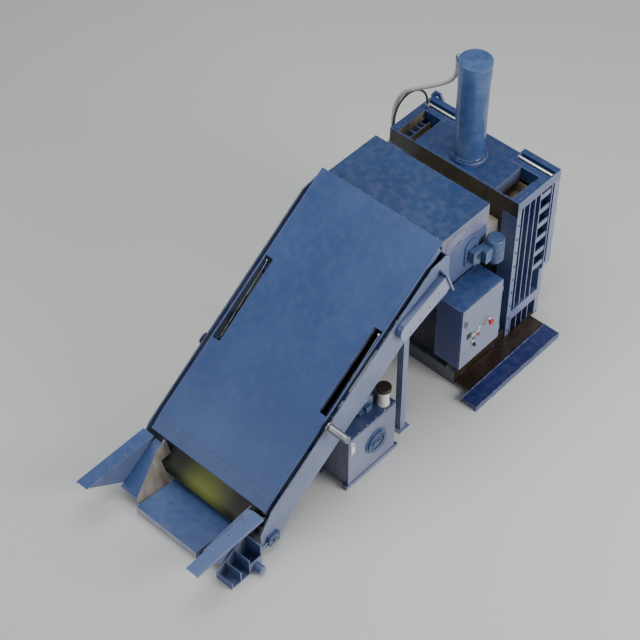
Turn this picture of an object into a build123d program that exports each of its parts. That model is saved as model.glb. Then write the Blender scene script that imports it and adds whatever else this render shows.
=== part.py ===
"""Conveyor-fed vertical baling press.

Origin: on the floor, under the axis of the press ram. +Z is up, +X runs from the loading hopper to the
press, and -Y is the operator's side, with the control cabinet and the power unit. All sizes are in mm.
"""

from build123d import *
import os
from math import acos, atan2, cos, hypot, pi, radians, sin, tan

os.makedirs("parts", exist_ok=True)

# ------------------------------------------------------------------ clearances
running_fit = 0.05  # radial, shafts and rods in their bores
sliding_gap = 15.0  # platen to chamber walls
panel_gap = 4.0  # between sheet-metal bodies that move past each other
belt_gap = 0.5  # drums and rollers to the belt

# ------------------------------------------------------------------ press
press_front = -225.0
press_top = 1870.0
press_half_width = 780.0
chamber_half_width = 620.0
chamber_front = -210.0
chamber_back = 205.0
head_plate_half_width = 480.0
head_bottom = 1690.0
rail_back = 190.0
rear_beam_back = 262.0
head_back = 414.0
plate = 12.0
shell = 15.0
post_depth = 60.0
rear_post_foot = 640.0
band_low, band_high = 250.0, 370.0  # level plate across each side wall

# ------------------------------------------------------------------ base
base_front = -1000.0
base_back = 310.0
base_half_width = 770.0
base_height = 170.0
floor_plate = 20.0
skid_front = -1127.0
skid_back = 175.0
skid_inner = 966.0
skid_width = 186.0
skid_height = 60.0
skid_wall = 8.0
tray_sheet = 4.0
tray_gap = 2.0  # oil trays to the press's posts and to the skids

# ------------------------------------------------------------------ cylinder and ram
barrel_radius = 158.5  # of the collar at its upper end
barrel_wall = 20.0
barrel_tube_radius = 150.0
collar_height = 170.0
barrel_top = 2978.0
cap_thickness = 22.0
flange_radius = 184.0
flange_height = 30.0
flange_bolt_circle = 167.0
flange_bolt_count = 12
rod_radius = 60.0
piston_length = 100.0
ram_travel = 850.0
platen_low = 1540.0
platen_high = 1680.0
gland_radius = 104.0
gland_depth = 60.0

# ------------------------------------------------------------------ bale door
door_low = 72.0
door_high = 690.0
door_plate = 12.0
door_rib = 60.0
door_hinge_x = 342.0
door_hinge_y = 655.0
pin_radius = 14.0
knuckle_radius = 26.0

# ------------------------------------------------------------------ feed opening and chute
feed_low = 1080.0
feed_high = 1530.0
feed_half_width = 560.0
chute_wall = 6.0
chute_front = -640.0

# ------------------------------------------------------------------ conveyor
incline = radians(35.1)
hinge_x = -1268.0  # upper end of the hood's top face
hinge_z = 2090.0
hood_length = 2837.0
hood_half_width = 720.0
hood_sheet = 6.0
hood_skirt = 60.0
hood_nose = 160.0
hood_nose_drop = 22.0
hinge_rod_radius = 9.0
hinge_knuckle_radius = 17.0
hinge_drop = 30.0  # hinge axis below the hood's top face
strut_slot = (930.0, 1830.0)
strut_y = 680.0
slot_inward, slot_outward = 66.0, 28.0  # from the strut's axis to the slot's long edges
frame_half_width = 775.0
frame_plate = 12.0
frame_top_drop = 8.0
frame_depth = 360.0
drum_radius = 100.0
drum_half_length = 610.0
motor_radius = 90.0
shaft_radius = 25.0
belt_thickness = 10.0
belt_half_width = 600.0
tail_x, tail_z = -3560.0, 125.0
head_x, head_z = -777.0, 1600.0
bend_x, bend_z, bend_radius = -1585.0, 1145.0, 400.0
return_x, return_z, return_radius = -1700.0, 1390.0, 45.0
bed_sheet = 4.0
stub_x, stub_z = -2800.0, 985.0
stub_radius, far_stub_radius = 38.0, 34.0
stub_reach, far_stub_reach = 225.0, 30.0
stub_collar_radius, stub_collar = 60.0, 12.0

# ------------------------------------------------------------------ head housing
box_front = -1222.0
box_back = -550.0
box_top = 2050.0
box_half_width = 685.0
box_sheet = 5.0
head_side_low = 1300.0
head_side_inner = box_half_width - box_sheet - plate

# ------------------------------------------------------------------ loading hopper
hopper_half_width = 380.0
hopper_lip_x = -4130.0
hopper_lip_height = 90.0
hopper_crease = (-3985.0, 72.0)
hopper_gap = 13.7  # belt to the hopper's rear edge
hopper_dip = radians(49.9)  # of that edge below the tail drum's axis
hopper_reach = drum_radius + belt_gap + belt_thickness + hopper_gap
hopper_rear = (tail_x - hopper_reach * cos(hopper_dip), tail_z - hopper_reach * sin(hopper_dip))
hopper_sheet = 8.0
wing_top = 460.0
wing_tip = -4470.0
wing_root = -3640.0
wing_inner = 625.0
wing_width = 135.0

# ------------------------------------------------------------------ cabinet
cabinet_left, cabinet_right = -1250.0, -670.0
cabinet_low, cabinet_high = 600.0, 1385.0
cabinet_back, cabinet_front = -700.0, -985.0
cabinet_sheet = 2.5
cabinet_door = 15.0

# ------------------------------------------------------------------ power unit
tank_left, tank_right = -2630.0, -1985.0
tank_near, tank_far = -860.0, -510.0
tank_low, tank_high = 50.0, 660.0
tank_sheet = 5.0
filter_radius = 54.0
filter_height = 190.0
filter_cap_radius = 72.0
filter_cap_height = 40.0
fan_x, fan_z, fan_radius = -2262.0, 375.0, 140.0


def block(x, y, z, mode=Mode.ADD):
    """Box given by its low and high limits along each axis."""
    with Locations(((x[0] + x[1]) / 2, (y[0] + y[1]) / 2, (z[0] + z[1]) / 2)):
        Box(abs(x[1] - x[0]), abs(y[1] - y[0]), abs(z[1] - z[0]), mode=mode)


def bar(start, end, radius, mode=Mode.ADD):
    """Round bar between two points."""
    along = Vector(*end) - Vector(*start)
    with Locations(Plane(origin=start, z_dir=along)):
        Cylinder(radius, along.length, align=(Align.CENTER, Align.CENTER, Align.MIN), mode=mode)


def slab(outline, y_low, y_high, mode=Mode.ADD):
    """Plate with an outline of X and Z points, between two values of Y."""
    with BuildSketch(Plane.XZ.offset(-y_high)) as profile:
        Polygon(*outline, align=None)
    extrude(profile.sketch, amount=y_high - y_low, dir=(0, -1, 0), mode=mode)


def on_slope(along, above):
    """X and Z of a point this far down the hood and this far above its top face."""
    x = hinge_x - along * cos(incline) - above * sin(incline)
    z = hinge_z - along * sin(incline) + above * cos(incline)
    return (x, z)


def strip(along, above):
    """Outline of a strip that lies parallel to the hood."""
    return [
        on_slope(along[0], above[0]),
        on_slope(along[0], above[1]),
        on_slope(along[1], above[1]),
        on_slope(along[1], above[0]),
    ]


def save(part, name):
    """Label a finished piece and write it to its own STEP file."""
    part.label = name
    export_step(part, f"parts/{name}.step")


def save_far_copy(part, name):
    """Write the mirror image of a near-side piece for the far side."""
    save(mirror(part, about=Plane.XZ), name)


def save_pair(part, name):
    """Write a near-side piece and its mirror image as two solids of one node."""
    save(Compound(children=[*part.solids(), *mirror(part, about=Plane.XZ).solids()]), name)


# ================================================================== base
with BuildPart() as base_frame:
    block((base_front, base_back), (-base_half_width, base_half_width), (0, floor_plate))
    block((base_front, base_front + shell), (-base_half_width, base_half_width), (floor_plate, base_height))
    width = (-base_half_width, base_half_width)
    block((base_front + shell, base_front + 75), width, (base_height - shell, base_height))
    for side in (-1, 1):
        web = (side * base_half_width, side * (base_half_width - shell))
        block((base_front + shell, press_front - shell), web, (floor_plate, base_height))
        post = (side * (belt_half_width + 6), side * head_side_inner)
        block((base_front + 80, base_front + 150), post, (floor_plate, 1500))
    stand = (cabinet_back, cabinet_back + 30)
    for stand_x in (base_front + 20, cabinet_right - 130):
        block((stand_x, stand_x + 55), stand, (base_height, head_side_low - 10))
    block((base_front, cabinet_right - 75), stand, (base_height, base_height + 40))
save(base_frame.part, "base_frame")

with BuildPart() as skid_near:
    outer = (-skid_inner - skid_width, -skid_inner)
    block((skid_front, skid_back), outer, (0, skid_height))
    channel = (outer[0] + skid_wall, outer[1] - skid_wall)
    block((skid_front, skid_back), channel, (0, skid_height - skid_wall), Mode.SUBTRACT)
    for edge in outer:
        inward = edge + 8 if edge == outer[0] else edge - 8
        block((skid_front, skid_back), (edge, inward), (skid_height, skid_height + 8))
    for arm_x in (-900, -450, 60):
        block((arm_x, arm_x + 80), (-skid_inner, -base_half_width), (0, skid_height - skid_wall))
save_pair(skid_near.part, "skids")

with BuildPart() as oil_tray_near:
    tray_y = (-skid_inner + tray_gap, -press_half_width - tray_gap)
    tray_low = skid_height - skid_wall
    block((base_front, skid_back), tray_y, (tray_low, tray_low + tray_sheet))
save_pair(oil_tray_near.part, "oil_trays")

# ================================================================== press body
rib_face = press_half_width - 10
with BuildPart() as chamber_side_near:
    inner, outer = -chamber_half_width, -chamber_half_width - plate
    block((chamber_front, chamber_back + shell), (outer, inner), (floor_plate, head_bottom + 70))
    front_post = (-press_half_width, -chamber_half_width + 10)
    block((press_front, chamber_front), front_post, (floor_plate, head_bottom))
    post_face = (-press_half_width, -press_half_width + plate)
    block((chamber_front, press_front + post_depth), post_face, (floor_plate, head_bottom + 70))
    for rib_x in (-118, -30, 58):
        block((rib_x, rib_x + plate), (-rib_face, outer), (band_high, head_bottom + 70))
    for rib_x in (120, base_back - plate):
        block((rib_x, rib_x + plate), (-press_half_width, outer), (band_high, head_bottom + 70))
    for step in range(6):
        rung_z = 700 + 190 * step
        block((132, base_back - plate), (-rib_face, outer), (rung_z, rung_z + plate))
        block((132, base_back - plate), (-rib_face, -rib_face + plate), (rung_z + plate, rung_z + 62))
    post_front = head_back - post_depth - 20
    block((post_front, head_back), (-press_half_width, outer), (rear_post_foot, head_bottom + 70))
    block((base_back, post_front), (-press_half_width, outer), (rear_post_foot, rear_post_foot + 60))
    block((chamber_front, base_back), (-press_half_width, outer), (band_low, band_high))
    block((base_back - post_depth, base_back), (-base_half_width, outer), (floor_plate, band_low))
    block((base_back - post_depth, base_back), (-press_half_width, outer), (band_high, rear_post_foot))
    for rib_x in (-140, -50, 40, 130):
        block((rib_x, rib_x + plate), (-rib_face, outer), (floor_plate, band_low))
save(chamber_side_near.part, "chamber_side_near")
save_far_copy(chamber_side_near.part, "chamber_side_far")

rail_inner = 697.0
rail_low = head_bottom + 70
with BuildPart() as head_frame:
    block((press_front, chamber_front), (-press_half_width, press_half_width), (head_bottom, press_top))
    for side in (-1, 1):
        outer, inner = side * press_half_width, side * rail_inner
        block((chamber_front, rail_back), (outer, inner), (rail_low, press_top))
        hollow_x = (chamber_front + plate, rail_back - plate)
        hollow_y = (outer - side * plate, inner + side * plate)
        block(hollow_x, hollow_y, (rail_low, press_top - plate), Mode.SUBTRACT)
save(head_frame.part, "head_frame")

head_plate_low = press_top - 35
with BuildPart() as centre_head_plate:
    with BuildSketch(Plane.XY.offset(head_plate_low)):
        Polygon(
            (chamber_front, -head_plate_half_width),
            (rail_back, -head_plate_half_width),
            (rail_back, -350),
            (335, -350),
            (335, 350),
            (rail_back, 350),
            (rail_back, head_plate_half_width),
            (chamber_front, head_plate_half_width),
            align=None,
        )
    extrude(amount=press_top - head_plate_low)
    for side in (-1, 1):
        block(
            (chamber_front, rail_back),
            (side * head_plate_half_width, side * (head_plate_half_width - shell)),
            (head_bottom + 20, head_plate_low),
        )
        rib = (side * 230, side * (230 - shell))
        block((chamber_front, rail_back), rib, (head_bottom + 20, head_plate_low))
    with Locations((0, 0, press_top)):
        Hole(gland_radius + 1)
save(centre_head_plate.part, "centre_head_plate")

channel_inner_y = 350.0
with BuildPart() as rear_channel_near:
    near, far = -press_half_width, -channel_inner_y
    block((rail_back, head_back), (near, far), (rail_low, rail_low + shell))
    block((rail_back, rear_beam_back), (near, far), (rail_low + shell, press_top))
    block((head_back - 64, head_back), (near, far), (rail_low + shell, press_top))
    for end in ((near, near + shell), (far - shell, far)):
        block((rear_beam_back, head_back - 64), end, (rail_low + shell, press_top))
    fillet(rear_channel_near.edges().filter_by(Axis.Y).group_by(Axis.Z)[-1], 5)
save_pair(rear_channel_near.part, "rear_channels")

tie_rod_x = (rear_beam_back + head_back - 64) / 2
with BuildPart() as tie_rods:
    for side in (-1, 1):
        start = (tie_rod_x, side * (channel_inner_y + shell), press_top - 24)
        bar(start, (tie_rod_x, side * (press_half_width - shell), press_top - 24), 19)
save(tie_rods.part, "tie_rods")

with BuildPart() as lifting_lug:
    with BuildSketch(Plane.YZ.offset(head_back)):
        with Locations((735, press_top - 15)):
            RegularPolygon(78, 6)
            Circle(26, mode=Mode.SUBTRACT)
    extrude(amount=25)
save(lifting_lug.part, "lifting_lug")

with BuildPart() as chamber_back_panel:
    width = (-chamber_half_width, chamber_half_width)
    height = (700, head_bottom + 20)
    block((chamber_back, chamber_back + shell), width, height)
    for rib_y in (-420, -140, 140, 420):
        block((chamber_back + shell, chamber_back + 85), (rib_y - 8, rib_y + 8), height)
    for rib_z in (700, 1030, 1360, head_bottom + 4):
        block((chamber_back + shell, chamber_back + 70), width, (rib_z, rib_z + plate))
save(chamber_back_panel.part, "chamber_back_panel")

with BuildPart() as chamber_front_panel:
    width = chamber_half_width - 10
    block((press_front, chamber_front), (-width, width), (floor_plate, head_bottom))
    mouth = (-feed_half_width, feed_half_width)
    block((press_front, chamber_front), mouth, (feed_low, feed_high), Mode.SUBTRACT)
    for rib_y in (-400, -133, 133, 400):
        block((press_front - 50, press_front), (rib_y - 6, rib_y + 6), (floor_plate, feed_low - 120))
save(chamber_front_panel.part, "chamber_front_panel")

# ================================================================== bale door
knuckle_levels = (130.0, 530.0)
knuckle_height = 60.0
door_front = chamber_back + shell + panel_gap
with BuildPart() as bale_door:
    door_half_width = chamber_half_width + 6
    block((door_front, door_front + door_plate), (-door_half_width, door_half_width), (door_low, door_high))
    for rib_z in (door_low, 220, 370, 520, door_high - plate):
        rib = (door_front + door_plate, door_front + door_plate + door_rib)
        block(rib, (-door_half_width, door_half_width - 40), (rib_z, rib_z + plate))
    for level in knuckle_levels:
        height = (level, level + knuckle_height)
        strap = (door_half_width - 170, door_half_width - 20)
        block((door_front + door_plate, door_hinge_x), strap, height)
        block((base_back + panel_gap, door_hinge_x), (door_half_width - 20, door_hinge_y), height)
        ends = [(door_hinge_x, door_hinge_y, z) for z in height]
        bar(*ends, knuckle_radius)
        bar(*ends, pin_radius + running_fit, Mode.SUBTRACT)
    latch_y, latch_z = -520.0, 305.0
    bar((door_front + door_plate, latch_y, latch_z), (312, latch_y, latch_z), 34)
    bar((door_front, latch_y, latch_z), (313, latch_y, latch_z), pin_radius + running_fit, Mode.SUBTRACT)
save(bale_door.part, "bale_door")

with BuildPart() as door_hinges:
    for level in knuckle_levels:
        for lug_z in (level - 26, level + knuckle_height + 2):
            width = (chamber_half_width + 20, door_hinge_y + 60)
            block((base_back, door_hinge_x), width, (lug_z, lug_z + 24))
            ends = [(door_hinge_x, door_hinge_y, z) for z in (lug_z, lug_z + 24)]
            bar(*ends, knuckle_radius)
        ends = [(door_hinge_x, door_hinge_y, z) for z in (level - 40, level + knuckle_height + 34)]
        bar(*ends, pin_radius)

with BuildPart() as door_latch:
    bar((door_front, latch_y, latch_z), (340, latch_y, latch_z), pin_radius)
    block((316, 328), (-700, latch_y + 30), (latch_z - 22, latch_z + 22))
    block((340, 356), (latch_y - 22, latch_y + 22), (latch_z - 30, latch_z + 300))
    bar((340, latch_y, latch_z + 275), (430, latch_y, latch_z + 275), 17)
    bar((328, latch_y, latch_z), (340, latch_y, latch_z), 24)
save(door_latch.part, "door_latch")

with BuildPart() as door_keeper:
    block((base_back, 352), (-740, -716), (latch_z - 45, latch_z + 45))
    block((338, 352), (-716, -660), (latch_z - 45, latch_z + 45))
save(Compound(children=[*door_hinges.part.solids(), *door_keeper.part.solids()]), "door_hinges")

# ================================================================== cylinder and ram
barrel_low = press_top + flange_height
with BuildPart() as cylinder_flange:
    with BuildSketch(Plane.XY.offset(press_top)):
        Circle(flange_radius)
    extrude(amount=flange_height)
    with BuildSketch(Plane.XY.offset(press_top - gland_depth)):
        Circle(gland_radius)
    extrude(amount=gland_depth)
    with Locations((0, 0, barrel_low)):
        Hole(rod_radius + running_fit)
    top_circles = cylinder_flange.edges().filter_by(GeomType.CIRCLE).group_by(Axis.Z)[-1]
    chamfer(top_circles.sort_by(SortBy.RADIUS)[-1], 6)
save(cylinder_flange.part, "cylinder_flange")

with BuildPart() as flange_bolts:
    with BuildSketch(Plane.XY.offset(barrel_low)):
        with PolarLocations(flange_bolt_circle, flange_bolt_count):
            RegularPolygon(11, 6)
    extrude(amount=11)
save(flange_bolts.part, "flange_bolts")

with BuildPart() as cylinder_barrel:
    with BuildSketch(Plane.XY.offset(barrel_low)):
        Circle(barrel_tube_radius)
    extrude(amount=barrel_top - barrel_low)
    with BuildSketch(Plane.XY.offset(barrel_top - collar_height)):
        Circle(barrel_radius)
    extrude(amount=collar_height)
    with BuildSketch(Plane.XY.offset(barrel_low)):
        Circle(barrel_radius - barrel_wall)
    extrude(amount=barrel_top - barrel_low, mode=Mode.SUBTRACT)
    with BuildSketch(Plane.XY.offset(barrel_top)):
        Circle(barrel_radius)
    extrude(amount=cap_thickness)
    chamfer(cylinder_barrel.edges().group_by(Axis.Z)[-1], 3)
save(cylinder_barrel.part, "cylinder_barrel")

port_z = 2925.0
port_y = 196.0
with BuildPart() as port_elbow:
    start = barrel_radius - 1.5
    bar((0, start, port_z), (0, port_y, port_z), 24)
    with Locations((0, port_y, port_z)):
        Sphere(27)
    bar((0, port_y, port_z), (0, port_y, port_z - 46), 24)
    block((-60, 60), (0, barrel_radius), (port_z - 60, port_z + 60), Mode.SUBTRACT)
    bar((0, 0, port_z - 80), (0, 0, port_z + 80), barrel_radius, Mode.SUBTRACT)

piston_low = barrel_low + 75 + ram_travel
rod_flange_top = platen_high + 22
with BuildPart() as piston_rod:
    bar((0, 0, platen_high), (0, 0, rod_flange_top), 120)
    bar((0, 0, rod_flange_top), (0, 0, piston_low), rod_radius)
    piston_radius = barrel_radius - barrel_wall - running_fit
    bar((0, 0, piston_low), (0, 0, piston_low + piston_length), piston_radius)
save(piston_rod.part, "piston_rod")

platen_half_width = chamber_half_width - sliding_gap
platen_x = (chamber_front + sliding_gap, chamber_back - sliding_gap)
with BuildPart() as platen:
    block(platen_x, (-platen_half_width, platen_half_width), (platen_low, platen_low + 20))
    for web_x in (platen_x[0], platen_x[1] - plate):
        web_y = (-platen_half_width, platen_half_width)
        block((web_x, web_x + plate), web_y, (platen_low + 20, platen_high))
    for web_y in (-platen_half_width, -330, -110, 98, 318, platen_half_width - plate):
        block(platen_x, (web_y, web_y + plate), (platen_low + 20, platen_high - 20))
    block(platen_x, (-170, 170), (platen_high - 20, platen_high))
save(platen.part, "platen")

# ================================================================== head of the conveyor
with BuildPart() as head_housing:
    width = box_half_width
    outline = [
        (box_front, box_top),
        (box_back, box_top),
        (box_back, 1832),
        (-700, 1828),
        (-830, 1862),
        (-960, 1872),
        (-1070, 1842),
        (-1150, 1760),
        (-1185, 1620),
        (box_front, 1600),
    ]
    slab(outline, -width, width)
    inner_x = (box_front - 1, box_back - box_sheet)
    inner_y = (-width + box_sheet, width - box_sheet)
    block(inner_x, inner_y, (1500, box_top - box_sheet), Mode.SUBTRACT)
    block((box_front, box_front + box_sheet), inner_y, (1990, box_top - box_sheet))
    fillet(head_housing.edges().filter_by(Axis.X).group_by(Axis.Z)[-1], 4)
    for knuckle_y in (-600, -200, 200, 600):
        axis_x, axis_z = on_slope(0, -hinge_drop)
        arm = [
            (axis_x, axis_z - 12),
            (axis_x, axis_z + 8),
            (box_front + 30, box_top + 6),
            (box_front + 30, box_top - 2),
            (box_front, box_top - 2),
        ]
        slab(arm, knuckle_y - 20, knuckle_y + 20)
        ends = [(axis_x, y, axis_z) for y in (knuckle_y - 20, knuckle_y + 20)]
        bar(*ends, hinge_knuckle_radius)
        bar(*ends, hinge_rod_radius, Mode.SUBTRACT)
save(head_housing.part, "head_housing")

side_outer = box_half_width - box_sheet
with BuildPart() as head_side_near:
    outline = [
        (box_front, box_top - 80),
        (box_back - box_sheet, box_top - 80),
        (box_back - box_sheet, 1420),
        (-640, head_side_low),
        (box_front, head_side_low),
    ]
    slab(outline, -side_outer, -side_outer + plate)
    ends = [(head_x, y, head_z) for y in (-side_outer, -side_outer + plate)]
    bar(*ends, shaft_radius + 2, Mode.SUBTRACT)
save_pair(head_side_near.part, "head_side_plates")

with BuildPart() as head_bearing_near:
    with BuildSketch(Plane.XZ.offset(side_outer)):
        with Locations((head_x, head_z)):
            SlotCenterToCenter(150, 190, rotation=90)
    extrude(amount=14)
    bar((head_x, -side_outer - 14, head_z), (head_x, -side_outer - 34, head_z), 62)
    ends = [(head_x, y, head_z) for y in (-side_outer, -side_outer - 34)]
    bar(*ends, shaft_radius + running_fit, Mode.SUBTRACT)

with BuildPart() as feed_chute:
    floor_start, roof_start = (chute_front, 1400), (box_back - 40, 1720)
    for start, end_z in ((floor_start, feed_low - chute_wall), (roof_start, feed_high)):
        sheet = [start, (press_front, end_z)]
        sheet += [(press_front, end_z + chute_wall), (start[0], start[1] + chute_wall)]
        slab(sheet, -feed_half_width, feed_half_width)
    cheek = [
        floor_start,
        (press_front, feed_low - chute_wall),
        (press_front, feed_high + chute_wall),
        (roof_start[0], roof_start[1] + chute_wall),
        (chute_front, roof_start[1]),
    ]
    slab(cheek, -feed_half_width - chute_wall, -feed_half_width)
    slab(cheek, feed_half_width, feed_half_width + chute_wall)
save(feed_chute.part, "feed_chute")

# ================================================================== conveyor frame
# Gas struts: the body turns on the frame below the hood, and the rod's eye stands beside a pin on the hood.
strut_foot = on_slope(strut_slot[1] - 20, -95)
strut_head = on_slope(strut_slot[0] + 40, -36)
strut_run = hypot(strut_head[0] - strut_foot[0], strut_head[1] - strut_foot[1])
strut_body_length = 470.0
strut_rod_length = 760.0

frame_inner = frame_half_width - frame_plate
post_x = -1748.0
with BuildPart() as conveyor_side_near:
    outline = [
        on_slope(60, -frame_top_drop - 90),
        on_slope(240, -frame_top_drop),
        on_slope(hood_length - 40, -frame_top_drop),
        (-3700, 270),
        (-3700, 30),
        (-3450, 30),
        on_slope(2740, -frame_depth),
        on_slope(870, -frame_depth),
        (box_front + 8, 1465),
        (box_front + 8, 1940),
    ]
    slab(outline, -frame_half_width, -frame_inner)
    block((box_front - 4, box_front + 8), (-frame_half_width, -box_half_width), (1465, 1940))
    tail = (tail_x, -frame_half_width, tail_z)
    bar(tail, (tail_x, -frame_inner, tail_z), shaft_radius + 2, Mode.SUBTRACT)
    ends = [(return_x, y, return_z) for y in (-frame_half_width, -frame_inner)]
    bar(*ends, 12 + running_fit, Mode.SUBTRACT)
    foot = strut_foot
    bar((foot[0], -strut_y + 12, foot[1]), (foot[0], -frame_inner, foot[1]), 8)
    block((foot[0] - 30, foot[0] + 30), (-frame_inner, -frame_inner + 6), (foot[1] - 30, foot[1] + 22))
save(conveyor_side_near.part, "conveyor_side_near")
save_far_copy(conveyor_side_near.part, "conveyor_side_far")

with BuildPart() as lifting_stubs:
    for side, radius, reach in ((-1, stub_radius, stub_reach), (1, far_stub_radius, far_stub_reach)):
        face, tip = side * frame_half_width, side * (frame_half_width + reach)
        bar((stub_x, face, stub_z), (stub_x, face + side * stub_collar, stub_z), stub_collar_radius)
        bar((stub_x, face, stub_z), (stub_x, tip, stub_z), radius)
    for end in (0, -1):
        fillet(lifting_stubs.faces().filter_by(Axis.Y).sort_by(Axis.Y)[end].edges(), 6)
save(lifting_stubs.part, "lifting_stubs")


def tangent(first, second):
    """Touch points of the line from one signed circle to the next, clockwise circles positive."""
    (x1, z1, r1), (x2, z2, r2) = first, second
    turn = atan2(z2 - z1, x2 - x1) + acos((r1 - r2) / hypot(x2 - x1, z2 - z1))
    return (x1 + r1 * cos(turn), z1 + r1 * sin(turn)), (x2 + r2 * cos(turn), z2 + r2 * sin(turn))


def belt_loop(height):
    """Lines and arcs of the belt's surface this far outside its inner face, drawn as a closed sketch."""
    circles = [
        (tail_x, tail_z, drum_radius + belt_gap + height),
        (bend_x, bend_z, bend_radius + height),
        (head_x, head_z, drum_radius + belt_gap + height),
        (return_x, return_z, -(return_radius + belt_gap + belt_thickness - height)),
    ]
    count = len(circles)
    runs = [tangent(circles[i], circles[(i + 1) % count]) for i in range(count)]
    with BuildSketch(Plane.XZ.offset(-belt_half_width)) as face:
        with BuildLine():
            for i, (start, end) in enumerate(runs):
                Line(start, end)
                x, z, radius = circles[(i + 1) % count]
                leave = runs[(i + 1) % count][0]
                chord = Vector((end[0] + leave[0]) / 2 - x, (end[1] + leave[1]) / 2 - z)
                middle = chord.normalized() * abs(radius)
                if x == tail_x:
                    middle = -middle if middle.X > 0 else middle
                if x == head_x:
                    middle = -middle if middle.X < 0 else middle
                ThreePointArc(end, (x + middle.X, z + middle.Y), leave)
        make_face()
    return face.sketch


with BuildPart() as belt:
    extrude(belt_loop(belt_thickness), amount=2 * belt_half_width, dir=(0, -1, 0))
    extrude(belt_loop(0), amount=2 * belt_half_width, dir=(0, -1, 0), mode=Mode.SUBTRACT)
save(belt.part, "belt")

bed_gap = 1.0
tail_tangent, bend_in = tangent((tail_x, tail_z, drum_radius), (bend_x, bend_z, bend_radius))
bend_out, head_tangent = tangent((bend_x, bend_z, bend_radius), (head_x, head_z, drum_radius))


def between(start, end, share):
    """Point at a share of the way from one point to another."""
    return (start[0] + (end[0] - start[0]) * share, start[1] + (end[1] - start[1]) * share)


with BuildPart() as slider_bed:
    bed_top = [between(tail_tangent, bend_in, 0.06), bend_in]
    bed_top += [bend_out, between(bend_out, head_tangent, 0.80)]
    top = [(x, z - bed_gap - 3) for x, z in bed_top]
    bottom = [(x, z - bed_gap - 3 - bed_sheet * 2) for x, z in reversed(bed_top)]
    slab(top + bottom, -belt_half_width - 60, belt_half_width + 60)
    for share in (0.15, 0.4, 0.65, 0.9):
        x, z = between(tail_tangent, bend_in, share)
        fall = 30 * (bend_in[1] - tail_tangent[1]) / (bend_in[0] - tail_tangent[0])
        member = [(x - 30, z - 75), (x + 30, z - 75), (x + 30, z + fall - 9), (x - 30, z - fall - 9)]
        slab(member, -frame_inner, frame_inner)
save(slider_bed.part, "slider_bed")


def drum(name, x, z, near_end, far_end):
    """Belt drum with end discs and a through shaft."""
    with BuildPart() as turned:
        bar((x, -drum_half_length, z), (x, drum_half_length, z), drum_radius)
        bar((x, -drum_half_length, z), (x, -drum_half_length + 30, z), drum_radius - 8, Mode.SUBTRACT)
        bar((x, drum_half_length - 30, z), (x, drum_half_length, z), drum_radius - 8, Mode.SUBTRACT)
        bar((x, near_end, z), (x, far_end, z), shaft_radius)
    save(turned.part, name)


drum("head_drum", head_x, head_z, -side_outer - 90, side_outer + 30)
drum("tail_drum", tail_x, tail_z, -frame_half_width - 60, frame_half_width + 50)

with BuildPart() as return_roller:
    roller_end = belt_half_width + 20
    bar((return_x, -roller_end, return_z), (return_x, roller_end, return_z), return_radius)
    bar((return_x, -frame_half_width, return_z), (return_x, frame_half_width, return_z), 12)
save(return_roller.part, "return_roller")

with BuildPart() as tail_bearing_near:
    housing_y = (-frame_half_width - 40, -frame_half_width)
    block((tail_x - 70, tail_x + 70), housing_y, (tail_z - 62, tail_z + 62))
    fillet(tail_bearing_near.edges().filter_by(Axis.Y), 18)
    bar((tail_x - 190, -frame_half_width - 20, tail_z), (tail_x - 70, -frame_half_width - 20, tail_z), 9)
    foot_y = (-frame_half_width - 50, -frame_half_width)
    block((tail_x - 204, tail_x - 190), foot_y, (tail_z - 30, tail_z + 30))
    ends = [(tail_x, y, tail_z) for y in (-frame_half_width - 40, -frame_half_width)]
    bar(*ends, shaft_radius + running_fit, Mode.SUBTRACT)
bearings = [*head_bearing_near.part.solids(), *tail_bearing_near.part.solids()]
far_bearings = [mirror(bearing, about=Plane.XZ) for bearing in bearings]
save(Compound(children=bearings + far_bearings), "drum_bearings")

with BuildPart() as gear_motor:
    gear_y = (-side_outer - 36, -side_outer - 150)
    block((head_x + 40, head_x + 170), gear_y, (head_z - 100, head_z + 50))
    fillet(gear_motor.edges().filter_by(Axis.Y), 22)
    block((head_x - 60, head_x + 60), (-side_outer - 36, -side_outer - 88), (head_z - 70, head_z + 70))
    motor_x, motor_y = head_x + 217, -side_outer - 112
    bar((motor_x, motor_y, head_z - 150), (motor_x, motor_y, head_z + 78), motor_radius)
    bar((motor_x, motor_y, head_z - 172), (motor_x, motor_y, head_z - 150), motor_radius - 14)
    bar((motor_x, motor_y, head_z + 78), (motor_x, motor_y, head_z + 104), motor_radius - 4)
    fillet(gear_motor.faces().sort_by(Axis.Z)[-1].edges(), 16)
    ends = [(head_x, y, head_z) for y in (-side_outer - 36, -side_outer - 91)]
    bar(*ends, shaft_radius + running_fit, Mode.SUBTRACT)
save(gear_motor.part, "gear_motor")

duct_low = (-1890.0, 1384.0)
duct_high = (-1268.0, 1630.0)
duct_height = 205.0
duct_width = 70.0
duct_rise = atan2(duct_high[1] - duct_low[1], duct_high[0] - duct_low[0])


def on_duct(along, above):
    """X and Z of a point beyond the duct's upper end and above its lower edge."""
    x = duct_high[0] + along * cos(duct_rise) - above * sin(duct_rise)
    return (x, duct_high[1] + along * sin(duct_rise) + above * cos(duct_rise))


duct_length = hypot(duct_high[0] - duct_low[0], duct_high[1] - duct_low[1])
with BuildPart() as cable_duct:
    face, outside = -frame_half_width, -frame_half_width - duct_width
    tray = [on_duct(along, above) for along, above in ((-duct_length, 0), (0, 0), (0, duct_height))]
    slab([*tray, on_duct(-duct_length, duct_height)], outside, face)
    fillet(cable_duct.edges().filter_by(Axis.Y).sort_by(Axis.X)[:2], 90)
    slab([on_duct(0, -45), on_duct(14, -45), on_duct(14, 250), on_duct(0, 250)], outside - 26, face)
save(cable_duct.part, "cable_duct")

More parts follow.
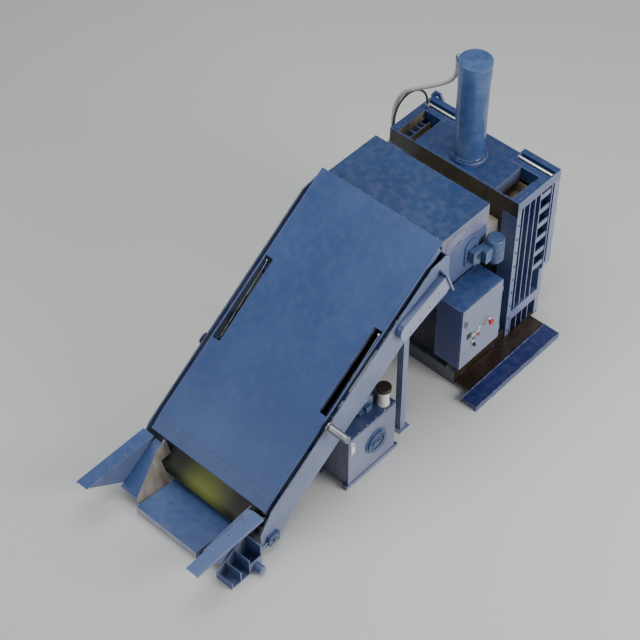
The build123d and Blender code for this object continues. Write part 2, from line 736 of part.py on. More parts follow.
with BuildPart() as support_posts:
    for side in (-1, 1):
        block((post_x - 35, post_x + 35), (side * (frame_inner - 70), side * frame_inner), (10, 1420))
        block((post_x - 75, post_x + 75), (side * (frame_inner - 95), side * (frame_inner + 30)), (0, 10))
save(support_posts.part, "support_posts")

# ================================================================== hood
axis_x, axis_z = on_slope(0, -hinge_drop)
with BuildPart() as hood_lid:
    fold = hood_length - hood_nose
    top = [on_slope(-20, 0), on_slope(fold, 0), on_slope(hood_length, -hood_nose_drop)]
    nose_under = on_slope(hood_length, -hood_nose_drop - hood_sheet)
    under = [nose_under, on_slope(fold, -hood_sheet), on_slope(-20, -hood_sheet)]
    slab(top + under, -hood_half_width, hood_half_width)
    skirt = [
        on_slope(45, -hood_sheet),
        on_slope(fold, -hood_sheet),
        nose_under,
        on_slope(hood_length, -hood_nose_drop - hood_skirt),
        on_slope(fold, -hood_skirt),
        on_slope(45, -hood_skirt),
    ]
    for side in (-1, 1):
        near, far = sorted((side * hood_half_width, side * (hood_half_width - hood_sheet)))
        slab(skirt, near, far)
        slot_edge = strut_y - slot_inward
        slot_limits = sorted((side * slot_edge, side * (strut_y + slot_outward)))
        slab(strip(strut_slot, (-hood_sheet - 1, 1)), *slot_limits, Mode.SUBTRACT)
        inner = sorted((side * slot_edge, side * (slot_edge - hood_sheet)))
        slab(strip(strut_slot, (-hood_skirt, -hood_sheet)), *inner)
    for stiffener in (600.0, 1380.0, 2160.0):
        stiffener_end = slot_edge - hood_sheet - panel_gap
        slab(strip((stiffener, stiffener + 30), (-34, -hood_sheet)), -stiffener_end, stiffener_end)
    for knuckle_y in (-552, -152, 248, 648):
        lug = strip((-hinge_knuckle_radius, hinge_knuckle_radius), (-hinge_drop, -hood_sheet))
        slab(lug, knuckle_y - 26, knuckle_y + 22)
        ends = [(axis_x, y, axis_z) for y in (knuckle_y - 26, knuckle_y + 22)]
        bar(*ends, hinge_knuckle_radius)
        bar(*ends, hinge_rod_radius + running_fit, Mode.SUBTRACT)
save(hood_lid.part, "hood_lid")

with BuildPart() as hood_hinge_rod:
    bar((axis_x, -640, axis_z), (axis_x, 690, axis_z), hinge_rod_radius)
save(hood_hinge_rod.part, "hood_hinge_rod")


def on_strut(distance):
    """Point on the near strut's axis this far from its foot."""
    x, z = between(strut_foot, strut_head, distance / strut_run)
    return (x, -strut_y, z)


with BuildPart() as strut_body_near:
    bar(on_strut(24), on_strut(strut_body_length), 16)
    bar(on_strut(40), on_strut(strut_body_length + 1), 7 + running_fit, Mode.SUBTRACT)
    ends = [(strut_foot[0], y, strut_foot[1]) for y in (-strut_y - 9, -strut_y + 9)]
    bar(*ends, 17)
    bar(on_strut(10), on_strut(30), 8)
    bar(*ends, 8 + running_fit, Mode.SUBTRACT)
save_pair(strut_body_near.part, "strut_bodies")

with BuildPart() as strut_rod_near:
    bar(on_strut(strut_run - strut_rod_length), on_strut(strut_run - 8), 7)
    ends = [(strut_head[0], y, strut_head[1]) for y in (-strut_y - 7, -strut_y + 7)]
    bar(*ends, 15)
save_pair(strut_rod_near.part, "strut_rods")

# ================================================================== loading hopper
with BuildPart() as hopper_floor:
    ramp = [
        (hopper_lip_x, 0),
        (hopper_lip_x, hopper_lip_height),
        hopper_crease,
        hopper_rear,
        (hopper_rear[0], 0),
    ]
    slab(ramp, -hopper_half_width, hopper_half_width)
    inside = hopper_lip_x + 10
    beyond = hopper_rear[0] + 10
    hollow = [(inside, -1), (inside, hopper_lip_height - hopper_sheet)]
    hollow += [(x, z - hopper_sheet) for x, z in (hopper_crease, (beyond, hopper_rear[1]))]
    side_face = hopper_half_width - hopper_sheet
    slab([*hollow, (beyond, -1)], -side_face, side_face, Mode.SUBTRACT)
save(hopper_floor.part, "hopper_floor")

# The side walls lean outwards, from the floor plate to a level strip that carries the wing.
wall_front, wall_mid, wall_back = -4080.0, -3695.0, -3568.0
wall_heights = {wall_front: 110.0, wall_mid: 372.0, wall_back: 400.0}
belt_clear_z = tail_z + drum_radius + belt_thickness + 27
lean_top = 545.0


def lean(z):
    """Inner Y of the near wall at a height."""
    return -hopper_half_width - (lean_top - hopper_half_width) * z / wall_heights[wall_back]


def wall_section(x, low):
    """Cross-section of the near wall at one X, from a height up to its top edge."""
    high = wall_heights[x]
    with BuildSketch(Plane.YZ.offset(x)) as section:
        bottom, top = lean(low), lean(high)
        Polygon((bottom, low), (top, high), (top - 8, high), (bottom - 8, low), align=None)
    return section.sketch


def rim_section(x):
    """Cross-section at one X of the rim that joins the near wall's top edge to the wing."""
    high = wall_heights[x]
    edge = lean(high)
    with BuildSketch(Plane.YZ.offset(x)) as section:
        Polygon((edge, high), (edge, high + 8), (rim_y, high + 8), (rim_y, high), align=None)
    return section.sketch


rim_y = -wing_inner - 12
with BuildPart() as hopper_side_near:
    loft(sections=[wall_section(wall_front, 4), wall_section(wall_mid, 4)])
    loft(sections=[wall_section(wall_mid, belt_clear_z), wall_section(wall_back, belt_clear_z)])
    loft(sections=[rim_section(wall_front), rim_section(wall_mid)])
    middle = wall_heights[wall_mid]
    block((wall_mid, wall_back - 40), (rim_y, lean(middle) - 2), (middle, middle + 8))
save_pair(hopper_side_near.part, "hopper_sides")

with BuildPart() as wing_near:
    block((wing_tip, wing_root), (-wing_inner - wing_width, -wing_inner), (wing_top - 8, wing_top))
    gusset = [
        (wing_tip + 4, wing_top - 8),
        (-4041, 140),
        (-3900, 240),
        (wing_root, wing_top - 40),
        (wing_root, wing_top - 8),
    ]
    slab(gusset, -wing_inner - 20, -wing_inner - 12)
    lip = (wing_top - 34, wing_top - 8)
    block((wing_tip, wing_root), (-wing_inner - wing_width, -wing_inner - wing_width + 6), lip)
save_pair(wing_near.part, "wings")

with BuildPart() as tail_guard:
    near, far = -850.0, -655.0
    block((-4150, -3770), (near, far), (0, 12))
    for rib_x in (-4150, -4040, -3930, -3782):
        height = 60 + (rib_x + 4150) * 0.55
        block((rib_x, rib_x + 12), (near, far), (12, 12 + height))
    wall = [(-4150, 12), (-3770, 12), (-3770, 285), (-4150, 75)]
    slab(wall, far - 8, far)
    block((-3930, -3770), (near, near + 8), (12, 130))
    bar((-3850, near, 62), (-3850, -945, 62), 42)
    fillet(tail_guard.faces().sort_by(Axis.Y)[0].edges(), 12)
save(tail_guard.part, "tail_guard")

# ================================================================== control cabinet
pin_x, pin_y = cabinet_right + 9, cabinet_front - 8
pin_levels = (cabinet_low + 100, cabinet_high - 160)
with BuildPart() as cabinet_box:
    x, y, z = (cabinet_left, cabinet_right), (cabinet_front, cabinet_back), (cabinet_low, cabinet_high)
    block(x, y, z)
    fillet(cabinet_box.edges().filter_by(Axis.Y), 8)
    sheet = cabinet_sheet
    block(
        (x[0] + sheet, x[1] - sheet),
        (y[0] - 1, y[1] - sheet),
        (z[0] + sheet, z[1] - sheet),
        Mode.SUBTRACT,
    )
    block((x[0] + sheet, x[1] - sheet), (y[1] - 30, y[1] - 26), (z[0] + 40, z[1] - 40))
    for rail in (z[0] + 40, z[1] - 90):
        block((x[0] + 60, x[1] - 60), (y[1] - 26, y[1] - sheet), (rail, rail + 50))
    for pin_z in pin_levels:
        bar((pin_x, pin_y, pin_z), (pin_x, pin_y, pin_z + 60), 5)
        block((cabinet_right, pin_x + 9), (cabinet_front, cabinet_front + 30), (pin_z - 8, pin_z))
        block((pin_x - 1, pin_x + 8), (pin_y, cabinet_front), (pin_z - 8, pin_z))
        bar((pin_x, pin_y, pin_z - 8), (pin_x, pin_y, pin_z), 8)
save(cabinet_box.part, "cabinet_box")

door_y = (cabinet_front - 1 - cabinet_door, cabinet_front - 1)
button_z = 900.0
buttons = {"start_button": -1060.0, "stop_button": -990.0}
estop_x, estop_z = -840.0, 960.0
selector_x, selector_z = -1060.0, 820.0
lock_x, lock_z = -1200.0, 1190.0
button_travel = 5.0
with BuildPart() as cabinet_door_panel:
    block((cabinet_left, cabinet_right), door_y, (cabinet_low, cabinet_high))
    fillet(cabinet_door_panel.edges().filter_by(Axis.Y), 8)
    for pin_z in pin_levels:
        bar((pin_x, pin_y, pin_z + 6), (pin_x, pin_y, pin_z + 50), 9)
        block((cabinet_right - 8, pin_x), (pin_y - 5, pin_y + 4), (pin_z + 6, pin_z + 50))
        bar((pin_x, pin_y, pin_z), (pin_x, pin_y, pin_z + 60), 5 + running_fit, Mode.SUBTRACT)
    for x in buttons.values():
        bar((x, door_y[0] - 1, button_z), (x, door_y[1] + 1, button_z), 11 + running_fit, Mode.SUBTRACT)
    for x, z in ((estop_x, estop_z), (selector_x, selector_z), (lock_x, lock_z)):
        bar((x, door_y[0] - 1, z), (x, door_y[1] + 1, z), 11 + running_fit, Mode.SUBTRACT)
save(cabinet_door_panel.part, "cabinet_door")

for name, x in buttons.items():
    with BuildPart() as button:
        bar((x, door_y[0] - button_travel - 1, button_z), (x, door_y[1] + 6, button_z), 11)
        head = (door_y[0] - button_travel - 9, door_y[0] - button_travel - 1)
        bar((x, head[0], button_z), (x, head[1], button_z), 17)
        fillet(button.faces().sort_by(Axis.Y)[0].edges(), 2)
    save(button.part, name)

with BuildPart() as estop_button:
    bar((estop_x, door_y[0] - 24, estop_z), (estop_x, door_y[1] + 6, estop_z), 11)
    bar((estop_x, door_y[0] - 44, estop_z), (estop_x, door_y[0] - 24, estop_z), 30)
    fillet(estop_button.faces().sort_by(Axis.Y)[0].edges(), 9)
save(estop_button.part, "estop_button")

with BuildPart() as selector_switch:
    bar((selector_x, door_y[0] - 14, selector_z), (selector_x, door_y[1] + 6, selector_z), 11)
    bar((selector_x, door_y[0] - 14, selector_z), (selector_x, door_y[0] - 1, selector_z), 19)
    grip = (selector_z - 18, selector_z + 18)
    block((selector_x - 6, selector_x + 6), (door_y[0] - 30, door_y[0] - 14), grip)
save(selector_switch.part, "selector_switch")

with BuildPart() as door_lock:
    bar((lock_x, door_y[0] - 10, lock_z), (lock_x, door_y[1] + 10, lock_z), 11)
    bar((lock_x, door_y[0] - 10, lock_z), (lock_x, door_y[0] - 1, lock_z), 24)
    block((lock_x - 8, lock_x + 8), (door_y[0] - 32, door_y[0] - 10), (lock_z - 34, lock_z + 34))
    block((lock_x - 40, lock_x + 12), (door_y[1] + 3, door_y[1] + 10), (lock_z - 12, lock_z + 12))
save(door_lock.part, "door_lock")

# ================================================================== power unit
with BuildPart() as hydraulic_tank:
    x, y, z = (tank_left, tank_right), (tank_near, tank_far), (tank_low, tank_high)
    block(x, y, z)
    block(
        (x[0] + tank_sheet, x[1] - tank_sheet),
        (y[0] + tank_sheet, y[1] - tank_sheet),
        (z[0] + tank_sheet, z[1] - tank_sheet),
        Mode.SUBTRACT,
    )
    block((x[0] - 14, x[1] + 14), (y[0] + 6, y[1] - 6), (z[1], z[1] + 8))
    for rail in ((y[0] - 10, y[0] + 50), (y[1] - 50, y[1])):
        block((x[0] - 30, x[1] + 40), rail, (0, z[0]))
save(hydraulic_tank.part, "hydraulic_tank")

with BuildPart() as tank_cover:
    bar((fan_x, tank_near, fan_z), (fan_x, tank_near - 10, fan_z), fan_radius)
    bar((fan_x, tank_near - 10, fan_z), (fan_x, tank_near - 26, fan_z), fan_radius - 26)
    bar((fan_x, tank_near - 12, fan_z), (fan_x, tank_near - 27, fan_z), fan_radius - 42, Mode.SUBTRACT)
    block((fan_x - 60, fan_x + 60), (tank_near - 34, tank_near - 10), (fan_z - 10, fan_z + 10))
    for angle in range(0, 360, 60):
        x = fan_x + (fan_radius - 13) * cos(radians(angle))
        z = fan_z + (fan_radius - 13) * sin(radians(angle))
        bar((x, tank_near - 10, z), (x, tank_near - 17, z), 7)
save(tank_cover.part, "tank_cover")

with BuildPart() as sight_gauge:
    x, z = (tank_left + 22, tank_left + 68), (tank_high - 190, tank_high - 40)
    block(x, (tank_near - 18, tank_near), z)
    fillet(sight_gauge.edges().filter_by(Axis.Y), 10)
save(sight_gauge.part, "sight_gauge")

lid_top = tank_high + 8
with BuildPart() as return_filter:
    filter_x, filter_y = -2062.0, -775.0
    cap_low = lid_top + filter_height
    bar((filter_x, filter_y, lid_top), (filter_x, filter_y, lid_top + 14), filter_radius + 6)
    bar((filter_x, filter_y, lid_top + 14), (filter_x, filter_y, cap_low), filter_radius)
save(return_filter.part, "return_filter")

with BuildPart() as filter_cap:
    bar((filter_x, filter_y, cap_low), (filter_x, filter_y, cap_low + filter_cap_height), filter_cap_radius)
    fillet(filter_cap.edges().group_by(Axis.Z)[-1], 8)
save(filter_cap.part, "filter_cap")

with BuildPart() as pump_motor:
    motor_y, motor_z, motor_radius = -665.0, lid_top + 88, 76.0
    bar((-2350, motor_y, motor_z), (-2170, motor_y, motor_z), motor_radius)
    bar((-2372, motor_y, motor_z), (-2350, motor_y, motor_z), motor_radius - 6)
    bar((-2170, motor_y, motor_z), (-2140, motor_y, motor_z), motor_radius - 20)
    block((-2330, -2190), (motor_y - 60, motor_y + 60), (lid_top, lid_top + 40))
    terminal = (motor_y - motor_radius - 40, motor_y - motor_radius + 25)
    block((-2300, -2230), terminal, (motor_z - 25, motor_z + 35))
save(pump_motor.part, "pump_motor")

with BuildPart() as valve_block:
    block((-2140, -2030), (motor_y - 25, motor_y + 85), (lid_top, lid_top + 150))
    fillet(valve_block.edges().filter_by(Axis.Z), 10)
    for port_x in (-2110, -2060):
        bar((port_x, motor_y + 30, lid_top + 150), (port_x, motor_y + 30, lid_top + 178), 20)
save(valve_block.part, "valve_block")


# ================================================================== hydraulic hoses
def hose(name, route, diameter):
    """Tube of straight runs joined by tangent arcs, each as large as its two runs allow."""
    points = [Vector(*point) for point in route]
    radii = []
    for before, here, after in zip(points, points[1:], points[2:]):
        turn = radians((here - before).get_angle(after - here))
        shorter = min((here - before).length, (after - here).length)
        radii.append(0.45 * shorter / tan(turn / 2))
    print(name, "radii", [round(radius) for radius in radii])
    with BuildPart() as tube:
        with BuildLine():
            path = FilletPolyline(*points, radius=radii)
        with BuildSketch(Plane(origin=path @ 0, z_dir=path % 0)):
            Circle(diameter / 2)
        sweep()
    ratio = tube.part.volume / (pi * diameter**2 / 4) / path.length
    print(name, "length", round(path.length), "volume ratio", round(ratio, 4))
    save(tube.part, name)


pressure_route = [
    (0, port_y, port_z - 46),
    (0, port_y, port_z - 180),
    (4, port_y + 69, port_z - 325),
    (0, port_y + 224, port_z - 460),
    (0, port_y + 414, port_z - 605),
    (-10, port_y + 604, port_z - 740),
    (-30, port_y + 694, port_z - 925),
    (-60, port_y + 689, port_z - 1125),
    (-60, port_y + 689, port_z - 1320),
]
hose("pressure_hose", pressure_route, 40)
pilot_route = [
    (228, 700, press_top + 30),
    (228, 700, press_top + 175),
    (128, 746, press_top + 290),
    (-18, 802, press_top + 250),
    (-122, 832, press_top + 60),
    (-122, 832, press_top - 180),
]
hose("pilot_hose", pilot_route, 24)

with BuildPart() as hose_fittings:
    x, y, z = pressure_route[-1]
    bar((x, y, z), (x, y, z - 80), 26)
    block((x - 45, x + 45), (press_half_width, y + 30), (z - 140, z - 80))
    x, y, z = pilot_route[-1]
    bar((x, y, z), (x, y, z - 50), 17)
    block((x - 25, x + 25), (press_half_width, y + 22), (z - 100, z - 50))
    bar((228, 700, press_top), (228, 700, press_top + 30), 17)
save(Compound(children=[*port_elbow.part.solids(), *hose_fittings.part.solids()]), "hose_fittings")
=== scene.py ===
"""Looks of a conveyor-fed vertical baling press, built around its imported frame.

Each sub-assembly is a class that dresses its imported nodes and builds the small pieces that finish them.
Everything is in metres, in the frame's own axes: +X from the hopper to the press, -Y the operator's side.
"""

import logging
import math
from dataclasses import dataclass
from enum import Enum
from itertools import product
from typing import Iterable, Sequence

import bmesh
import bpy
from mathutils import Matrix, Vector


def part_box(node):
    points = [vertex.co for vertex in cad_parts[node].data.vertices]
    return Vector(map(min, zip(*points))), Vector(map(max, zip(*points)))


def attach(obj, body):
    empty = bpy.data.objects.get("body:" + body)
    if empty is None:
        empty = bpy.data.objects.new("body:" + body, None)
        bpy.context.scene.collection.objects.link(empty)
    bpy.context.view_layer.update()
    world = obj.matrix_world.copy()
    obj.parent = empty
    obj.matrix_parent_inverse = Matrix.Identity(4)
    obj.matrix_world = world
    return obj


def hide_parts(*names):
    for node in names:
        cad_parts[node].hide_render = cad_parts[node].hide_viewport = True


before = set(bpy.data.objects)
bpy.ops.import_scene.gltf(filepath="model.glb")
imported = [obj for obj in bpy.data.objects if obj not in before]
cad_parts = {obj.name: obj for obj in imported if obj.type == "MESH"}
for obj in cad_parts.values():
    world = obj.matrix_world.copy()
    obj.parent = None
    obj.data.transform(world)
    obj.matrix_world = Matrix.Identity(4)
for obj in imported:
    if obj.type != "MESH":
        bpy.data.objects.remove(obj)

log = logging.getLogger("baling_press")

MM = 0.001
SHARP_ANGLE = math.radians(32)
WAVE_BANDS = 10  # a wave texture of scale one repeats this many times in pi metres
Point = tuple[float, float, float]
Socket = bpy.types.NodeSocket
Tree = bpy.types.NodeTree
Mesh = bmesh.types.BMesh


class Body(Enum):
    """Rigid bodies of the frame that the new pieces ride on."""

    FRAME = "frame"
    LATCH = "latch"
    HOOD = "hood"
    CABINET_DOOR = "cabinet_door"


class Facing(Enum):
    """Where a lined face looks: a factor on its own place, and a fixed direction added to that."""

    TO_AXIS_X = ((-1.0, 0.0, 0.0), (0.0, 0.0, 0.0))
    TO_AXIS_Y = ((0.0, -1.0, 0.0), (0.0, 0.0, 0.0))
    # Faces that look to -X; on the press panels, head frame and cabinet their lining is painted shade.
    FRONT = ((0.0, 0.0, 0.0), (-0.1, 0.0, 0.0))
    NEAR_SIDE = ((0.0, 0.0, 0.0), (0.0, -0.1, 0.0))


# ------------------------------------------------------------------ shared node and mesh helpers
def linear(colour: str) -> tuple[float, float, float, float]:
    """Turn an sRGB hex colour into linear RGBA.

    Args:
        colour: six hex digits after a hash sign.

    Returns:
        Linear red, green and blue, and an alpha of one.
    """
    channels = [int(colour[i : i + 2], 16) / 255 for i in (1, 3, 5)]
    red, green, blue = (c / 12.92 if c <= 0.04045 else ((c + 0.055) / 1.055) ** 2.4 for c in channels)
    return (red, green, blue, 1.0)


def add_node(tree: Tree, kind: str, settings: dict | None = None, inputs: dict | None = None) -> bpy.types.Node:
    """Add a shader node with its settings and links.

    Args:
        tree: the material's node tree.
        kind: the node's type name.
        settings: attributes of the node.
        inputs: values or other nodes' sockets, by input name or index.

    Returns:
        The new node.
    """
    node = tree.nodes.new(kind)
    for name, value in (settings or {}).items():
        setattr(node, name, value)
    for name, value in (inputs or {}).items():
        if isinstance(value, Socket):
            tree.links.new(value, node.inputs[name])
        else:
            node.inputs[name].default_value = value
    return node


def per(size_mm: float) -> float:
    """Return the texture scale at which one feature is that many millimetres across."""
    return 1 / (size_mm * MM)


def noise(tree: Tree, place: Socket, scale: float, detail: float, roughness: float = 0.5) -> Socket:
    """Add a noise pattern and return its value socket."""
    inputs = {"Vector": place, "Scale": scale, "Detail": detail, "Roughness": roughness}
    return add_node(tree, "ShaderNodeTexNoise", inputs=inputs).outputs["Fac"]


def stretched(tree: Tree, place: Socket, scale: Sequence[float]) -> Socket:
    """Scale a place differently along each axis and return it."""
    return add_node(tree, "ShaderNodeMapping", inputs={"Vector": place, "Scale": scale}).outputs[0]


def remap(
    tree: Tree,
    value: Socket,
    low: float,
    high: float,
    to_low: float = 0.0,
    to_high: float = 1.0,
    smooth: bool = False,
) -> Socket:
    """Map a value's range onto another and return it.

    Args:
        tree: the material's node tree.
        value: the socket it starts from.
        low: where its range starts.
        high: where its range ends.
        to_low: what its start becomes.
        to_high: what its end becomes.
        smooth: whether it eases in and out.

    Returns:
        The socket of the mapped value.
    """
    settings = {"interpolation_type": "SMOOTHSTEP"} if smooth else {}
    inputs = {"Value": value, "From Min": low, "From Max": high, "To Min": to_low, "To Max": to_high}
    return add_node(tree, "ShaderNodeMapRange", settings, inputs).outputs[0]


def maths(tree: Tree, operation: str, *terms: Socket | float) -> Socket:
    """Add a sum on plain values and return its result."""
    return add_node(tree, "ShaderNodeMath", {"operation": operation}, dict(enumerate(terms))).outputs[0]


def vector_maths(tree: Tree, operation: str, *terms: Socket | Sequence[float], output: str = "Vector") -> Socket:
    """Add a sum on vectors and return the named output."""
    return add_node(tree, "ShaderNodeVectorMath", {"operation": operation}, dict(enumerate(terms))).outputs[output]


def mix(tree: Tree, share: Socket, first: Socket | str, second: Socket | str) -> Socket:
    """Mix two colours, each a socket or an sRGB hex colour, and return the result."""
    ends = [linear(end) if isinstance(end, str) else end for end in (first, second)]
    inputs = {"Factor": share, "A": ends[0], "B": ends[1]}
    return add_node(tree, "ShaderNodeMix", {"data_type": "RGBA"}, inputs).outputs["Result"]


def bump(tree: Tree, height: Socket, strength: float, distance: float, under: Socket | None = None) -> Socket:
    """Add relief, on top of another where one is given, and return its normal."""
    inputs = {"Strength": strength, "Distance": distance, "Height": height}
    if under is not None:
        inputs["Normal"] = under
    return add_node(tree, "ShaderNodeBump", inputs=inputs).outputs[0]


def bands(tree: Tree, place: Socket, direction: str, scale: float, distortion: float = 0.0) -> Socket:
    """Add a wave pattern and return its value socket."""
    inputs = {"Vector": place, "Scale": scale, "Distortion": distortion}
    return add_node(tree, "ShaderNodeTexWave", {"bands_direction": direction}, inputs).outputs["Fac"]


@dataclass(frozen=True)
class Lining:
    """Another colour on the faces that look one way."""

    facing: Facing
    colour: str
    # Second colour, mixed in by a streak pattern: dirt on the inner linings, a deeper painted shade on the
    # near-black linings of faces that look to -X.
    grime_and_shade: str = "#4a4338"

    def cover(self, tree: Tree, here: Socket, look: Socket, outside: Socket, streak: Socket) -> Socket:
        """Lay the lining over the faces it covers.

        Args:
            tree: the material's node tree.
            here: the place on the object.
            look: the object's normal there.
            outside: the colour elsewhere.
            streak: the pattern that streaks the lining with its second colour.

        Returns:
            The socket of the joined colour.
        """
        factor, direction = self.facing.value
        aim = vector_maths(tree, "MULTIPLY_ADD", here, factor, direction)
        agreement = vector_maths(tree, "DOT_PRODUCT", aim, look, output="Value")
        streaked = mix(tree, remap(tree, streak, 0.4, 0.8, to_high=0.85), self.colour, self.grime_and_shade)
        return mix(tree, maths(tree, "GREATER_THAN", agreement, 0.05), outside, streaked)


@dataclass(frozen=True)
class Finish:
    """A surface finish: its name, the record's material slot, and how its material is made."""

    name: str
    slot: str

    def material(self) -> bpy.types.Material:
        """Return the finish's material, made on first use."""
        found = bpy.data.materials.get(self.name)
        if found:
            return found
        made = bpy.data.materials.new(self.name)
        made.use_nodes = True
        made.node_tree.nodes.clear()
        shader = add_node(made.node_tree, "ShaderNodeBsdfPrincipled")
        add_node(made.node_tree, "ShaderNodeOutputMaterial", inputs={"Surface": shader.outputs[0]})
        for name, value in self.shade(made.node_tree).items():
            if isinstance(value, Socket):
                made.node_tree.links.new(value, shader.inputs[name])
            else:
                shader.inputs[name].default_value = value
        return made

    def shade(self, tree: Tree) -> dict[str, Socket | float]:
        """Build the finish's own nodes and return what the shader takes, by input name."""
        raise NotImplementedError


@dataclass(frozen=True)
class Enamel(Finish):
    """Sprayed machinery enamel over steel sheet: glossy, a little uneven, dusty on top, painted paler on faces lit
    from the operator's side, and pale on its edges from worn paint and a painted highlight.
    """

    colour: str = "#2c4f86"
    faded: str = "#456399"
    # Edge colour: worn paint, together with a painted highlight where the edges catch the light.
    edge: str = "#9aa7c4"
    dust: str = "#8d9099"
    # Painted light: faces that look to the operator's side are mixed towards this paler colour, as if the key light
    # fell on them.
    lit_side_colour: str = "#858ba5"  # where it looks to the operator's side
    lit_side_strength: float = 0.55
    linings: tuple[Lining, ...] = ()
    cloud_mm: float = 620.0
    peel_mm: float = 9.0  # real orange peel is 2 mm, drawn coarser so that it shows
    dent_mm: float = 260.0
    edge_breakup_mm: float = 45.0
    edge_band_mm: float = 5.0
    roughness: float = 0.34
    dusting: float = 0.10
    edge_wear_and_highlight: float = 0.7

    def shade(self, tree: Tree) -> dict[str, Socket | float]:
        """Build cloud, the painted light on faces toward the operator's side, dust, linings, worn paint on edges
        with a painted edge highlight, and orange peel.
        """
        place = add_node(tree, "ShaderNodeTexCoord").outputs
        here, look = place["Object"], place["Normal"]
        level = add_node(tree, "ShaderNodeSeparateXYZ", inputs={"Vector": look})
        cloud = noise(tree, here, per(self.cloud_mm), 6.0, 0.62)
        streak = noise(tree, stretched(tree, here, (14.0, 14.0, 1.6)), 1.0, 5.0)
        colour = mix(tree, remap(tree, cloud, 0.36, 0.68, smooth=True), self.colour, self.faded)
        # Painted light: faces that look to -Y turn paler, as if lit by the key light from that side.
        lit_side_mask = remap(tree, level.outputs["Y"], -0.3, -0.9)
        lit_side_amount = remap(tree, cloud, 0.3, 0.6, self.lit_side_strength * 0.6, self.lit_side_strength)
        colour = mix(tree, maths(tree, "MULTIPLY", lit_side_mask, lit_side_amount), colour, self.lit_side_colour)
        settled = remap(tree, level.outputs["Z"], 0.2, 1.0)
        speckle = remap(tree, streak, 0.42, 0.75, to_high=self.dusting)
        colour = mix(tree, maths(tree, "MULTIPLY", settled, speckle), colour, self.dust)
        for lining in self.linings:
            colour = lining.cover(tree, here, look, colour, streak)
        # Edges: worn paint and a painted highlight, mixed in along a band found with the bevel node and broken up by
        # noise.
        rounded = add_node(tree, "ShaderNodeBevel", {"samples": 4}, {"Radius": self.edge_band_mm * MM}).outputs[0]
        flat = add_node(tree, "ShaderNodeNewGeometry").outputs["Normal"]
        apart = vector_maths(tree, "DOT_PRODUCT", rounded, flat, output="Value")
        near_edge = remap(tree, apart, 0.985, 0.80, to_high=self.edge_wear_and_highlight)
        edge_breakup = remap(tree, noise(tree, here, per(self.edge_breakup_mm), 4.0), 0.35, 0.6)
        dents = bump(tree, noise(tree, here, per(self.dent_mm), 1.0), 0.12, 0.02)
        return {
            "Base Color": mix(tree, maths(tree, "MULTIPLY", near_edge, edge_breakup), colour, self.edge),
            "Roughness": remap(tree, streak, 0.3, 0.7, self.roughness - 0.07, self.roughness + 0.12),
            "Normal": bump(tree, noise(tree, here, per(self.peel_mm), 2.0), 0.10, 0.0015, under=dents),
            "IOR": 1.5,
            "Coat Weight": 0.25,
            "Coat Roughness": 0.18,
        }


@dataclass(frozen=True)
class BareMetal(Finish):
    """Bright steel, plated or polished: metallic, with fine drawn marks and dull smears."""

    colour: str = "#b9bcc0"
    smear: str = "#7f8286"
    mark_mm: float = 2.5  # drawing marks are 0.1 mm apart, drawn coarser so that they show
    smear_mm: float = 40.0
    roughness: float = 0.28
    stretch: Point = (1.0, 1.0, 0.05)

    def shade(self, tree: Tree) -> dict[str, Socket | float]:
        """Build the drawn marks and smears."""
        here = add_node(tree, "ShaderNodeTexCoord").outputs["Object"]
        marks = noise(tree, stretched(tree, here, self.stretch), per(self.mark_mm), 3.0)
        dull = remap(tree, noise(tree, here, per(self.smear_mm), 5.0), 0.45, 0.75)
        return {
            "Base Color": mix(tree, dull, self.colour, self.smear),
            "Roughness": remap(tree, marks, 0.0, 1.0, max(self.roughness - 0.08, 0.03), self.roughness + 0.14),
            "Normal": bump(tree, marks, 0.12, 0.0006),
            "Metallic": 1.0,
        }


@dataclass(frozen=True)
class Moulding(Finish):
    """Moulded plastic or rubber: one colour with faint mottling, fine spark grain and grey scuffs."""

    colour: str = "#1a1a1a"
    scuff: str = "#6a6a68"
    mottle_mm: float = 25.0
    grain_mm: float = 3.0  # spark grain is 0.3 mm, drawn coarser so that it shows
    roughness: float = 0.45
    coat: float = 0.0

    def shade(self, tree: Tree) -> dict[str, Socket | float]:
        """Build the mottling, scuffs and grain."""
        here = add_node(tree, "ShaderNodeTexCoord").outputs["Object"]
        mottle = noise(tree, here, per(self.mottle_mm), 5.0)
        grain = noise(tree, here, per(self.grain_mm), 2.0)
        return {
            "Base Color": mix(tree, remap(tree, mottle, 0.5, 0.85, to_high=0.45), self.colour, self.scuff),
            "Roughness": remap(tree, mottle, 0.0, 1.0, max(self.roughness - 0.1, 0.05), self.roughness + 0.15),
            "Normal": bump(tree, grain, 0.2, 0.0004),
            "IOR": 1.5,
            "Coat Weight": self.coat,
        }


